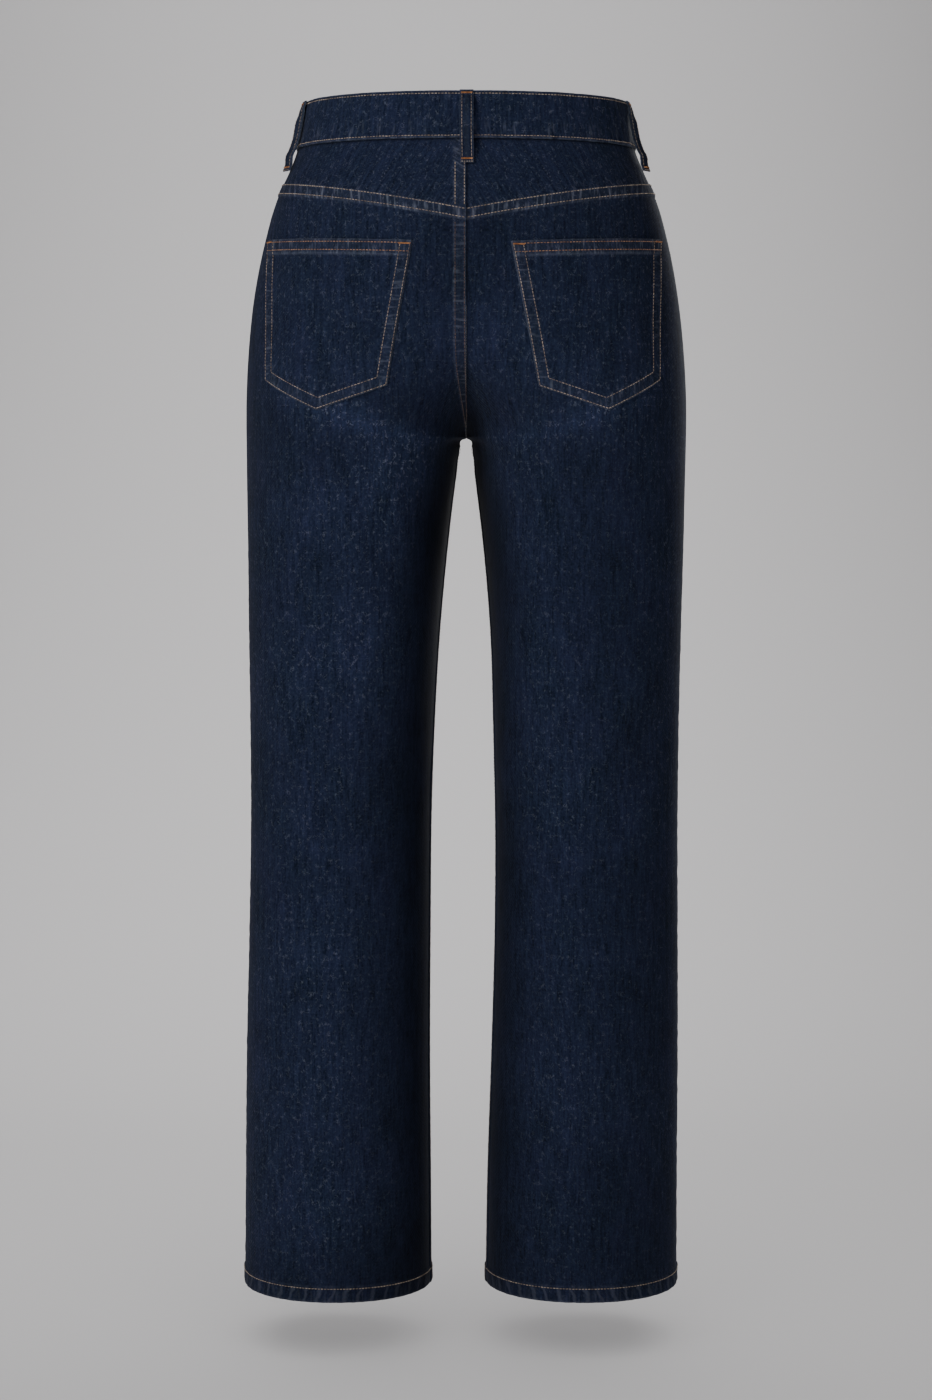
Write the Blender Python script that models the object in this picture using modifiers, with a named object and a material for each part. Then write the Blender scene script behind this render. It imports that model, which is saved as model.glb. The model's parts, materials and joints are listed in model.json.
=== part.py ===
"""Straight-leg denim jeans in their worn form, hollow, with no wearer.

Metres, +Z up. The front faces -Y and the wearer's left is +X. The origin is the middle of the waist,
halfway up the waistband. Every cloth piece is a thin wall worked out from one smooth form: level
sections round the hips that fork into two legs.
"""

import math
from collections import namedtuple

import bmesh
import bpy
import numpy as np

# Heights
WAIST_TOP = 0.0195
WAIST_SEAM = -0.0195
CROTCH = -0.2675
FORK_DEPTH = 0.110
FORK_TOP = CROTCH + FORK_DEPTH
HEM = -1.0295

# Cloth thicknesses and gaps
SEAM_GAP = 0.0003
HALF_GAP = SEAM_GAP / 2
DENIM = 0.0015
BAND_PROUD = 0.0015
FELL_RISE = 0.0009
FELL_WIDTH = 0.0100
FELL_STEP = 0.0012
HEM_HEIGHT = 0.0145

# How the seat curve runs under to the crotch, and the round top of the gap between the legs
FORK_BEND = 1.75
FORK_POWER = 1.6
CROTCH_GAP = 0.0062
CROTCH_FILLET = 0.0045
CROTCH_BLEND = 0.0120

LEFT, RIGHT = 1, -1
BACK, FRONT = 1, -1

# Level sections of the form. The outer and inner columns are half-widths at the side seams and the
# inseams, the front and back columns are depths, and square is the superellipse's power.
Section = namedtuple(
    "Section", "z left_outer left_inner right_inner right_outer front back side_y inseam_y square"
)
SECTIONS = [
    Section(0.0195, 0.1382, 0.0000, 0.0000, 0.1388, 0.0925, 0.0960, 0.000, -0.020, 2.25),
    Section(-0.0195, 0.1457, 0.0000, 0.0000, 0.1462, 0.0960, 0.1000, 0.000, -0.020, 2.25),
    Section(-0.0405, 0.1540, 0.0000, 0.0000, 0.1550, 0.0990, 0.1045, 0.000, -0.020, 2.25),
    Section(-0.0640, 0.1645, 0.0000, 0.0000, 0.1655, 0.1025, 0.1100, 0.000, -0.020, 2.28),
    Section(-0.1000, 0.1750, 0.0000, 0.0000, 0.1758, 0.1060, 0.1195, 0.000, -0.020, 2.32),
    Section(-0.1500, 0.1850, 0.0000, 0.0000, 0.1852, 0.1080, 0.1300, 0.000, -0.020, 2.36),
    Section(-0.2000, 0.1900, 0.0000, 0.0000, 0.1904, 0.1065, 0.1335, 0.000, -0.020, 2.36),
    Section(-0.2400, 0.1918, 0.0000, 0.0000, 0.1924, 0.1035, 0.1290, 0.000, -0.020, 2.32),
    Section(-0.2675, 0.1921, 0.0000, 0.0000, 0.1926, 0.1010, 0.1230, 0.000, -0.020, 2.28),
    Section(-0.2800, 0.1921, 0.0064, 0.0063, 0.1925, 0.0997, 0.1198, 0.000, -0.019, 2.27),
    Section(-0.3000, 0.1922, 0.0094, 0.0088, 0.1923, 0.0980, 0.1135, 0.000, -0.017, 2.24),
    Section(-0.3600, 0.1920, 0.0167, 0.0160, 0.1916, 0.0930, 0.1010, 0.000, -0.012, 2.22),
    Section(-0.4400, 0.1919, 0.0241, 0.0226, 0.1901, 0.0870, 0.0890, 0.000, -0.007, 2.20),
    Section(-0.5200, 0.1915, 0.0287, 0.0250, 0.1890, 0.0820, 0.0800, 0.000, -0.003, 2.18),
    Section(-0.6000, 0.1916, 0.0314, 0.0268, 0.1887, 0.0780, 0.0745, 0.000, 0.000, 2.18),
    Section(-0.7000, 0.1938, 0.0325, 0.0266, 0.1896, 0.0735, 0.0725, 0.001, 0.001, 2.16),
    Section(-0.8200, 0.1974, 0.0332, 0.0236, 0.1907, 0.0695, 0.0715, 0.001, 0.002, 2.14),
    Section(-0.9300, 0.1992, 0.0326, 0.0202, 0.1908, 0.0670, 0.0690, 0.002, 0.002, 2.12),
    Section(-1.0295, 0.2008, 0.0322, 0.0187, 0.1914, 0.0645, 0.0670, 0.002, 0.002, 2.10),
]

# Folds of the worn cloth, as soft troughs (depth below 0) and ridges along straight runs
Fold = namedtuple("Fold", "side face x0 z0 x1 z1 width depth")
FOLDS = [
    Fold(LEFT, BACK, 0.098, -0.265, 0.068, -0.350, 0.020, -0.0030),
    Fold(LEFT, BACK, 0.122, -0.255, 0.090, -0.320, 0.018, 0.0016),
    Fold(LEFT, BACK, 0.064, -0.262, 0.038, -0.335, 0.018, -0.0024),
    Fold(LEFT, BACK, 0.140, -0.475, 0.110, -0.562, 0.018, 0.0022),
    Fold(LEFT, BACK, 0.062, -0.490, 0.106, -0.562, 0.018, 0.0022),
    Fold(LEFT, BACK, 0.104, -0.452, 0.102, -0.530, 0.030, -0.0020),
    Fold(LEFT, BACK, 0.105, -0.580, 0.052, -0.572, 0.026, -0.0045),
    Fold(RIGHT, BACK, 0.070, -0.258, 0.036, -0.312, 0.018, 0.0016),
    Fold(RIGHT, BACK, 0.084, -0.262, 0.046, -0.325, 0.020, -0.0026),
    Fold(RIGHT, BACK, 0.120, -0.268, 0.102, -0.350, 0.022, 0.0022),
    Fold(RIGHT, BACK, 0.152, -0.470, 0.116, -0.580, 0.018, 0.0024),
    Fold(RIGHT, BACK, 0.158, -0.520, 0.128, -0.590, 0.020, -0.0036),
    Fold(RIGHT, BACK, 0.060, -0.537, 0.100, -0.537, 0.012, -0.0024),
    Fold(RIGHT, BACK, 0.050, -0.585, 0.095, -0.592, 0.018, -0.0026),
    Fold(RIGHT, BACK, 0.030, -0.560, 0.062, -0.640, 0.018, 0.0020),
    Fold(LEFT, FRONT, 0.030, -0.225, 0.110, -0.180, 0.016, -0.0020),
    Fold(LEFT, FRONT, 0.040, -0.275, 0.120, -0.235, 0.018, -0.0022),
    Fold(LEFT, FRONT, 0.060, -0.585, 0.130, -0.560, 0.026, -0.0022),
    Fold(LEFT, FRONT, 0.090, -0.645, 0.150, -0.625, 0.026, -0.0018),
    Fold(RIGHT, FRONT, 0.030, -0.230, 0.105, -0.180, 0.016, -0.0020),
    Fold(RIGHT, FRONT, 0.045, -0.285, 0.115, -0.235, 0.018, -0.0022),
    Fold(RIGHT, FRONT, 0.060, -0.560, 0.125, -0.590, 0.026, -0.0022),
    Fold(RIGHT, FRONT, 0.080, -0.650, 0.145, -0.630, 0.026, -0.0018),
]

# The form's sampling, and how fast folds fade in from a seam
SAMPLES = 181
LIFT = 0.0005
MERGE = 0.000002
FOLD_FADE = 1.6

# Yoke seam: a shallow V, low at the centre and flat towards the side seam
YOKE_CENTRE = -0.0775
YOKE_SIDE = -0.0490
YOKE_SHAPE = 1.55

# Fly: the left front laps over the right by this much, down to the fly's foot
FLY_LAP = 0.0100
FLY_STRAIGHT = -0.1340
FLY_TURN = -0.1395
FLY_TURN_SHARE = 0.65
FLY_FOOT = -0.1450
FLY_END = -0.1520
ZIP_EDGE = 0.0015

# Front pocket scoop and the facing behind it
SCOOP_TOP = 0.074
SCOOP_DROP = -0.108
SCOOP_SHAPE = 2.1
FACING_UNDER = 2
FACING_COLUMNS = 5
FACING_WALL = 0.0010
FACING_FOOT = -0.1340

# Columns across a panel and rows down it
FELL_MARKS = (0.0, FELL_WIDTH, FELL_WIDTH + FELL_STEP)
BACK_COLUMNS = 13
FRONT_COLUMNS = 10
FORK_STEPS = (0.0, 0.30, 0.50, 0.66, 0.78, 0.87, 0.94, 0.98, 1.0)
FILLET_DROPS = (0.0007, 0.0022, 0.0050)
FORK_OUTER_FOOT = -0.2800
FORK_SLANT = 0.35
LEG_ROWS = (
    -0.298, -0.325, -0.355, -0.392, -0.430, -0.465, -0.495, -0.520, -0.545, -0.567,
    -0.590, -0.615, -0.645, -0.690, -0.750, -0.815, -0.880, -0.945, -0.990,
)
FRONT_HIP_ROWS = (-0.046, -0.070, -0.090, -0.101, -0.106, SCOOP_DROP, -0.120)
YOKE_ROWS = 4
UNDER_YOKE_ROWS = 3

# Back pockets: corners as half-width from the centre and height
Pocket = namedtuple("Pocket", "side top_in top_out foot_in foot_out tip")
POCKETS = [
    Pocket(LEFT, (0.044, -0.1050), (0.167, -0.0996), (0.065, -0.2238), (0.168, -0.2197), (0.124, -0.244)),
    Pocket(RIGHT, (0.037, -0.1058), (0.164, -0.0996), (0.060, -0.2244), (0.162, -0.2197), (0.118, -0.244)),
]
POCKET_WALL = 0.0013
POCKET_HEM = 0.0125
POCKET_SNAP = 0.0003

# Waistband, an open ring whose ends lap at the front
BAND_COLUMNS = 70
BAND_LAP_OVER = 0.0120
BAND_LAP_UNDER = 0.0280
BAND_DIP_FROM = 0.0150
BAND_DIP_TO = 0.0450

# Belt loops: height and clearance over the cloth below along the strap
LOOP_WIDTH = 0.0115
LOOP_WALL = 0.0016
LOOP_ON_BAND = BAND_PROUD + SEAM_GAP
LOOP_CLEAR = BAND_PROUD + 0.0050
LOOP_PATH = (
    (WAIST_TOP, LOOP_ON_BAND),
    (0.0158, LOOP_ON_BAND),
    (0.0085, BAND_PROUD + 0.0036),
    (0.0015, LOOP_CLEAR),
    (WAIST_SEAM, LOOP_CLEAR),
    (-0.0290, LOOP_CLEAR - 0.0010),
    (-0.0340, FELL_RISE + SEAM_GAP),
    (-0.0405, FELL_RISE + SEAM_GAP),
)
LOOP_BEHIND_SIDE = 0.022
LOOP_FRONT = 0.078

# Waist button and zip
BUTTON_X = 0.0015
BUTTON_RADIUS = 0.0085
BUTTON_HEIGHT = 0.0042
BUTTON_STEPS = 24
BUTTON_PROFILE = (
    (0.0, BUTTON_HEIGHT),
    (0.0038, BUTTON_HEIGHT),
    (0.0053, BUTTON_HEIGHT - 0.0005),
    (0.0068, BUTTON_HEIGHT),
    (BUTTON_RADIUS, BUTTON_HEIGHT - 0.0008),
    (BUTTON_RADIUS, BUTTON_HEIGHT - 0.0018),
    (0.0038, BUTTON_HEIGHT - 0.0024),
    (0.0038, 0.0),
    (0.0, 0.0),
)
ZIP_TAPE = 0.0130
ZIP_FOOT = -0.1430
ZIP_WALL = 0.0009
ZIP_ROWS = 6
ZIP_MIDDLE = 0.0045
ZIP_CHAIN_HALF = 0.0015
ZIP_CHAIN_RISE = 0.0010
SLIDER_HALF = 0.0035
SLIDER_RISE = 0.0017
SLIDER_TOP = 0.0030
SLIDER_LENGTH = 0.0090


def smooth_rows(z):
    """One Section at height z, on smooth curves through the table's rows."""
    heights = np.array([s.z for s in SECTIONS])[::-1]
    values = np.array(SECTIONS)[::-1]
    z = min(max(z, heights[0]), heights[-1])
    i = min(max(int(np.searchsorted(heights, z)) - 1, 0), len(heights) - 2)
    slopes = np.gradient(values, heights, axis=0)
    span = heights[i + 1] - heights[i]
    t = (z - heights[i]) / span
    row = (
        (2 * t**3 - 3 * t**2 + 1) * values[i]
        + (t**3 - 2 * t**2 + t) * span * slopes[i]
        + (3 * t**2 - 2 * t**3) * values[i + 1]
        + (t**3 - t**2) * span * slopes[i + 1]
    )
    return Section(*row)


def half_section(side, face, z):
    """Points of one side's front or back half at height z, from its inner tip to the side seam, on +X."""
    row = smooth_rows(z)
    outer = row.left_outer if side == LEFT else row.right_outer
    inner = row.left_inner if side == LEFT else row.right_inner
    if z > CROTCH:
        above = min((z - CROTCH) / FORK_DEPTH, 1.0)
        share = (1 - above**FORK_BEND) ** FORK_POWER
        half = outer / (1 + share)
        middle = share * half
        widen = 0.0
    else:
        down = min((CROTCH - z) / CROTCH_FILLET, 1.0)
        half = (outer - inner) / 2
        middle = (outer + inner) / 2
        widen = max(CROTCH_GAP * math.sqrt(1 - (1 - down) ** 2) - inner, 0.0)
    angle = np.linspace(0, math.pi, SAMPLES)
    power = 2 / row.square
    across = np.sign(np.cos(angle)) * np.abs(np.cos(angle)) ** power
    x = middle - half * across
    x += widen * np.exp(-(((x - x[0]) / CROTCH_BLEND) ** 2))
    base = row.inseam_y + (row.side_y - row.inseam_y) * (1 - across) / 2
    reach = row.back if face == BACK else -row.front
    y = base + (reach - base) * np.abs(np.sin(angle)) ** power
    return np.stack([x, y, np.full(SAMPLES, z)], axis=1)


def fold_depth(side, face, x, z):
    """How far the folds move the cloth out at each x, at height z."""
    total = np.zeros_like(x)
    for fold in FOLDS:
        if (fold.side, fold.face) != (side, face):
            continue
        along = np.array([fold.x1 - fold.x0, fold.z1 - fold.z0])
        length = np.linalg.norm(along)
        along /= length
        step = (x - fold.x0) * along[0] + (z - fold.z0) * along[1]
        aside = (x - fold.x0) * along[1] - (z - fold.z0) * along[0]
        past = np.maximum(np.abs(step - length / 2) - length / 2, 0)
        total += fold.depth * np.exp(-((aside / fold.width) ** 2) - (past / fold.width) ** 2)
    return total


HALF_CACHE = {}


def half_cloth(side, face, z):
    """Points, outward normals and distance along the cloth of one half section, in the part's frame."""
    key = (side, face, round(z, 7))
    if key not in HALF_CACHE:
        points = half_section(side, face, z)
        along = np.gradient(points, axis=0)
        up = half_section(side, face, z + LIFT) - half_section(side, face, z - LIFT)
        normals = np.cross(along, up) * -face
        normals[[0, -1], 1] = 0
        length = np.linalg.norm(normals, axis=1, keepdims=True)
        normals = normals / np.maximum(length, 1e-12)
        fade = np.minimum(FOLD_FADE * np.sin(np.linspace(0, math.pi, SAMPLES)), 1)
        points = points + normals * (fade * fold_depth(side, face, points[:, 0], z))[:, None]
        distance = np.concatenate([[0], np.cumsum(np.linalg.norm(np.diff(points, axis=0), axis=1))])
        HALF_CACHE[key] = (points, normals, distance)
    return HALF_CACHE[key]


def edge_start(side, face, z):
    """Distance along the half section at which the panel's inner edge lies."""
    points, _, distance = half_cloth(side, face, z)
    edge_x = HALF_GAP
    if face == FRONT and z > FLY_END:
        if side == LEFT:
            bend = [-FLY_LAP, -FLY_TURN_SHARE * FLY_LAP, HALF_GAP]
            edge_x = np.interp(-z, [-FLY_STRAIGHT, -FLY_TURN, -FLY_FOOT], bend)
        else:
            edge_x = np.interp(-z, [-FLY_FOOT, -FLY_END], [ZIP_EDGE, HALF_GAP])
    first = int(np.argmax(points[:, 0] >= edge_x))
    if first == 0 or z <= CROTCH + LIFT:
        return HALF_GAP
    share = (edge_x - points[first - 1, 0]) / (points[first, 0] - points[first - 1, 0])
    start = distance[first - 1] + share * (distance[first] - distance[first - 1])
    return max(start, HALF_GAP)


def cloth_span(side, face, z):
    """First and last distance along the half section that the panel covers."""
    return edge_start(side, face, z), half_cloth(side, face, z)[2][-1] - HALF_GAP


def on_cloth(side, face, z, distance):
    """Point and normal on the form at that distance along the half section."""
    points, normals, along = half_cloth(side, face, z)
    point = np.array([np.interp(distance, along, points[:, k]) for k in range(3)])
    normal = np.array([np.interp(distance, along, normals[:, k]) for k in range(3)])
    normal /= np.linalg.norm(normal)
    mirror = np.array([side, 1, 1])
    return point * mirror, normal * mirror


def cloth_grid(side, face, heights, distances):
    """Points and normals for a grid of heights and distances along the cloth."""
    rows, columns = heights.shape
    points = np.zeros((rows, columns, 3))
    normals = np.zeros((rows, columns, 3))
    for r in range(rows):
        for c in range(columns):
            points[r, c], normals[r, c] = on_cloth(side, face, heights[r, c], distances[r, c])
    return points, normals


def grid_faces(rows, columns):
    """Triangles over a grid of points, in the same pattern for every piece laid on it."""
    index = np.arange(rows * columns).reshape(rows, columns)
    faces = []
    for r in range(rows - 1):
        for c in range(columns - 1):
            faces.append((index[r, c], index[r, c + 1], index[r + 1, c + 1]))
            faces.append((index[r, c], index[r + 1, c + 1], index[r + 1, c]))
    return faces


def rim_edges(faces):
    """Edges that only one face uses, in that face's direction."""
    edges = {(a, b) for face in faces for a, b in zip(face, face[1:] + face[:1])}
    return [(a, b) for a, b in edges if (b, a) not in edges]


def thicken(name, outer, inner, faces, material):
    """A closed wall between matching outer and inner points."""
    count = len(outer)
    both = list(faces) + [tuple(i + count for i in reversed(face)) for face in faces]
    for a, b in sorted(rim_edges(faces)):
        both.append((b, a, a + count))
        both.append((b, a + count, b + count))
    return solid(name, np.concatenate([outer, inner]), both, material)


def wall(name, points, normals, outside, inside, material, keep=0):
    """A closed wall: a grid moved out by outside and in by inside, kept in one side's half if keep is set."""
    rows, columns = points.shape[:2]
    outer = points + normals * np.broadcast_to(outside, (rows, columns))[..., None]
    inner = points - normals * np.broadcast_to(inside, (rows, columns))[..., None]
    if keep:
        below = points[..., 2] <= FLY_END + LIFT
        for layer in (outer, inner):
            kept = keep * np.maximum(keep * layer[..., 0], HALF_GAP)
            layer[..., 0] = np.where(below | (points[..., 1] > 0), kept, layer[..., 0])
    return thicken(name, outer.reshape(-1, 3), inner.reshape(-1, 3), grid_faces(rows, columns), material)


def solid(name, vertices, faces, material):
    """A closed mesh object with its faces pointing out."""
    mesh = bpy.data.meshes.new(name)
    mesh.from_pydata([tuple(v) for v in vertices], [], [tuple(int(i) for i in f) for f in faces])
    shape = bmesh.new()
    shape.from_mesh(mesh)
    bmesh.ops.remove_doubles(shape, verts=shape.verts, dist=MERGE)
    bmesh.ops.recalc_face_normals(shape, faces=shape.faces)
    shape.to_mesh(mesh)
    shape.free()
    mesh.shade_smooth()
    mesh.set_sharp_from_angle(angle=math.radians(40))
    mesh.materials.append(material)
    obj = bpy.data.objects.new(name, mesh)
    garment.objects.link(obj)
    return obj


def finish(name, colour, roughness, metallic=0.0):
    """A plain material in one colour."""
    material = bpy.data.materials.new(name)
    material.use_nodes = True
    shader = material.node_tree.nodes["Principled BSDF"]
    shader.inputs["Base Color"].default_value = (*colour, 1)
    shader.inputs["Roughness"].default_value = roughness
    shader.inputs["Metallic"].default_value = metallic
    return material


def yoke_line(share):
    """Height of the yoke seam at a share of the way from the centre back to the side seam."""
    return YOKE_SIDE + (YOKE_CENTRE - YOKE_SIDE) * (1 - share) ** YOKE_SHAPE


def column_shares(side, face, z, columns):
    """Shares of the panel's width at height z for the columns: the felled strip's, then even ones."""
    first, last = cloth_span(side, face, z)
    width = last - first
    marks = [m / width for m in FELL_MARKS]
    rest = np.linspace(marks[-1], 1, columns + 1)[1:]
    return np.array(marks + list(rest))


def panel_distances(side, face, heights, columns):
    """Distances along the cloth for each point of a panel's grid of heights."""
    distances = np.zeros_like(heights)
    for r in range(heights.shape[0]):
        for c in range(heights.shape[1]):
            z = heights[r, c]
            first, last = cloth_span(side, face, z)
            distances[r, c] = first + column_shares(side, face, z, columns)[c] * (last - first)
    return distances


def leg_rows(shares):
    """Heights from the fork's top to the hem, in rows whose inner ends slant to follow the seat curve."""
    inner = [FORK_TOP - FORK_DEPTH * s for s in FORK_STEPS] + [CROTCH - d for d in FILLET_DROPS]
    outer = np.linspace(FORK_TOP, FORK_OUTER_FOOT, len(inner))
    level = np.minimum(shares / FORK_SLANT, 1)
    rows = [i + (o - i) * level for i, o in zip(inner, outer)]
    hem = (HEM + HEM_HEIGHT + FELL_STEP, HEM + HEM_HEIGHT, HEM)
    return rows + [np.full(len(shares), z) for z in (*LEG_ROWS, *hem)]


def hem_rise(heights):
    """The turned-up hem's extra thickness at each height."""
    return np.where(heights <= HEM + HEM_HEIGHT + LIFT, FELL_RISE, 0.0)


def back_grid(side):
    """Heights, points and normals of the back leg's grid, from the yoke seam to the hem."""
    shares = column_shares(side, BACK, YOKE_CENTRE, BACK_COLUMNS)
    seam = np.array([yoke_line(s) for s in shares]) - SEAM_GAP
    rows = [seam, seam - FELL_WIDTH, seam - FELL_WIDTH - FELL_STEP]
    leg = leg_rows(shares)
    for step in range(1, UNDER_YOKE_ROWS):
        rows.append(rows[2] + (leg[0] - rows[2]) * step / UNDER_YOKE_ROWS)
    heights = np.array(rows + leg)
    distances = panel_distances(side, BACK, heights, BACK_COLUMNS)
    return (heights, *cloth_grid(side, BACK, heights, distances))


def back_panel(side, name):
    """Back leg with its felled edges and turned-up hem raised."""
    heights, points, normals = back_grid(side)
    rise = hem_rise(heights)
    rise[:2, :] = FELL_RISE
    felled = heights <= (0 if side == LEFT else CROTCH - LIFT)
    rise[:, :2] = np.where(felled[:, :2], FELL_RISE, rise[:, :2])
    return wall(name, points, normals, rise, DENIM, denim, keep=side)


def yoke(side, name):
    """Back yoke between the waistband and the yoke seam."""
    shares = column_shares(side, BACK, YOKE_CENTRE, BACK_COLUMNS)
    foot = np.array([yoke_line(s) for s in shares])
    top = WAIST_SEAM - SEAM_GAP
    heights = np.array([top + (foot - top) * r / YOKE_ROWS for r in range(YOKE_ROWS + 1)])
    distances = panel_distances(side, BACK, heights, BACK_COLUMNS)
    points, normals = cloth_grid(side, BACK, heights, distances)
    rise = np.zeros_like(heights)
    if side == LEFT:
        rise[:, :2] = FELL_RISE
    return wall(name, points, normals, rise, DENIM, denim, keep=side)


def scoop_distance(side, z):
    """Distance along the front at which the pocket scoop cuts the panel, or the side seam below it."""
    last = cloth_span(side, FRONT, z)[1]
    if z <= SCOOP_DROP:
        return last
    down = (WAIST_SEAM - z) / (WAIST_SEAM - SCOOP_DROP)
    points, _, along = half_cloth(side, FRONT, WAIST_SEAM)
    top = float(np.interp(SCOOP_TOP, points[:, 0], along)) - edge_start(side, FRONT, WAIST_SEAM)
    top += edge_start(side, FRONT, z)
    return top + (last - top) * (1 - (1 - down**SCOOP_SHAPE) ** (1 / SCOOP_SHAPE))


def front_grid(side, past_scoop):
    """Heights, points and normals of the front leg's grid, with extra columns past the pocket scoop."""
    cloth = len(FELL_MARKS) + FRONT_COLUMNS
    shares = np.concatenate([column_shares(side, FRONT, FLY_END, FRONT_COLUMNS), np.ones(past_scoop)])
    levels = (WAIST_SEAM - SEAM_GAP, *FRONT_HIP_ROWS, FLY_STRAIGHT, FLY_TURN, FLY_FOOT, FLY_END)
    heights = np.array([np.full(len(shares), z) for z in levels] + leg_rows(shares))
    distances = np.zeros_like(heights)
    for (r, c), z in np.ndenumerate(heights):
        first, last = cloth_span(side, FRONT, z)
        scoop = scoop_distance(side, z)
        if c < len(FELL_MARKS):
            distances[r, c] = first + FELL_MARKS[c]
        elif c < cloth:
            start = first + FELL_MARKS[-1]
            distances[r, c] = start + (scoop - start) * (c - len(FELL_MARKS) + 1) / FRONT_COLUMNS
        else:
            distances[r, c] = scoop + (last - scoop) * (c - cloth + 1) / past_scoop
    points, normals = cloth_grid(side, FRONT, heights, distances)
    return heights, points, normals


def front_panel(side, name):
    """Front leg from waistband to hem, cut away at the pocket and lapped or tucked under at the fly."""
    heights, points, normals = front_grid(side, 0)
    rise = hem_rise(heights)
    felled = slice(0, len(FELL_MARKS))
    if side == LEFT:
        seam = (heights[:, :2] <= FLY_END + LIFT) & (heights[:, :2] > CROTCH + LIFT)
        rise[:, :2] = np.where(seam, FELL_RISE, rise[:, :2])
    else:
        tucked = heights[:, felled] >= FLY_FOOT - LIFT
        under = normals[:, felled] * (DENIM + SEAM_GAP)
        points[:, felled] -= np.where(tucked[..., None], under, 0)
    return wall(name, points, normals, rise, DENIM, denim, keep=side)


def pocket_facing(side, name):
    """Facing that shows inside the pocket scoop, from under the front panel to the side seam."""
    heights, points, normals = front_grid(side, FACING_COLUMNS)
    rows = heights[:, 0] >= FACING_FOOT - LIFT
    first = len(FELL_MARKS) + FRONT_COLUMNS - 1 - FACING_UNDER
    points, normals = points[rows, first:], normals[rows, first:]
    return wall(name, points - normals * (DENIM + SEAM_GAP), normals, 0.0, FACING_WALL, denim)


def back_pocket(pocket, name):
    """Patch pocket with a pointed foot, cut from the back panel's grid and moved out."""
    heights, points, normals = back_grid(pocket.side)
    shape = bmesh.new()
    layer = shape.verts.layers.float_vector.new("normal")
    marks = []
    for point, normal in zip(points.reshape(-1, 3), normals.reshape(-1, 3)):
        mark = shape.verts.new(point)
        mark[layer] = normal
        marks.append(mark)
    for face in grid_faces(*heights.shape):
        shape.faces.new([marks[i] for i in face])
    corners = np.array([pocket.top_in, pocket.top_out, pocket.foot_out, pocket.tip, pocket.foot_in])
    corners[:, 0] *= pocket.side
    centre = corners.mean(axis=0)
    cuts = []
    for a, b in zip(corners, np.roll(corners, -1, axis=0)):
        out = np.array([b[1] - a[1], a[0] - b[0]])
        out *= np.sign(np.dot(out, a - centre)) / np.linalg.norm(out)
        cuts.append((a, out, True))
    start, up, _ = cuts[0]
    cuts.append((start - up * POCKET_HEM, up, False))
    cuts.append((start - up * (POCKET_HEM + FELL_STEP), up, False))
    for at, out, clear in cuts:
        bmesh.ops.bisect_plane(
            shape,
            geom=shape.verts[:] + shape.edges[:] + shape.faces[:],
            plane_co=(at[0], 0, at[1]),
            plane_no=(out[0], 0, out[1]),
            clear_outer=clear,
            dist=POCKET_SNAP,
        )
    bmesh.ops.triangulate(shape, faces=shape.faces[:])
    shape.verts.index_update()
    points = np.array([mark.co for mark in shape.verts])
    normals = np.array([mark[layer] for mark in shape.verts])
    normals /= np.linalg.norm(normals, axis=1, keepdims=True)
    faces = [tuple(mark.index for mark in face.verts) for face in shape.faces]
    shape.free()
    below = (points[:, [0, 2]] - start) @ -up
    rise = np.where(below < POCKET_HEM + FELL_STEP / 2, FELL_RISE, 0)
    outer = points + normals * (SEAM_GAP + POCKET_WALL + rise)[:, None]
    return thicken(name, outer, points + normals * SEAM_GAP, faces, denim)


def waist_ring(z):
    """Points, normals and distance round the waist at height z, from the centre front by the right side."""
    parts = []
    quarters = ((RIGHT, FRONT, True), (RIGHT, BACK, False), (LEFT, BACK, True), (LEFT, FRONT, False))
    for side, face, outward in quarters:
        points, normals, _ = half_cloth(side, face, z)
        keep = points[:, 0] >= 0
        mirror = np.array([side, 1, 1])
        run = (points[keep] * mirror, normals[keep] * mirror)
        parts.append(run if outward else (run[0][::-1], run[1][::-1]))
    points = np.concatenate([p for p, _ in parts])
    normals = np.concatenate([n for _, n in parts])
    distance = np.concatenate([[0], np.cumsum(np.linalg.norm(np.diff(points, axis=0), axis=1))])
    return points, normals, distance


def ring_point(z, share):
    """Point and normal on the waist ring at a share of the way round, which may run on past the front."""
    points, normals, distance = waist_ring(z)
    at = (share % 1) * distance[-1]
    point = np.array([np.interp(at, distance, points[:, k]) for k in range(3)])
    normal = np.array([np.interp(at, distance, normals[:, k]) for k in range(3)])
    return point, normal / np.linalg.norm(normal)


def waistband():
    """One long band whose right end passes under its left end at the centre front."""
    length = waist_ring(0.0)[2][-1]
    dipping = (BAND_DIP_FROM + BAND_DIP_TO) / 2
    ends = [-BAND_LAP_UNDER, -BAND_LAP_UNDER / 2, 0, BAND_DIP_FROM, dipping]
    rest = np.linspace(BAND_DIP_TO, length + BAND_LAP_OVER, BAND_COLUMNS - len(ends))
    shares = np.concatenate([ends, rest]) / length
    levels = (WAIST_TOP, 0.0, WAIST_SEAM)
    points = np.zeros((len(levels), len(shares), 3))
    normals = np.zeros_like(points)
    for r, z in enumerate(levels):
        for c, share in enumerate(shares):
            points[r, c], normals[r, c] = ring_point(z, share)
    thickness = DENIM + BAND_PROUD
    dip = np.interp(shares * length, [BAND_DIP_FROM, BAND_DIP_TO], [thickness + SEAM_GAP, 0])
    points -= normals * dip[None, :, None]
    return wall("waistband", points, normals, BAND_PROUD, DENIM, denim)


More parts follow.
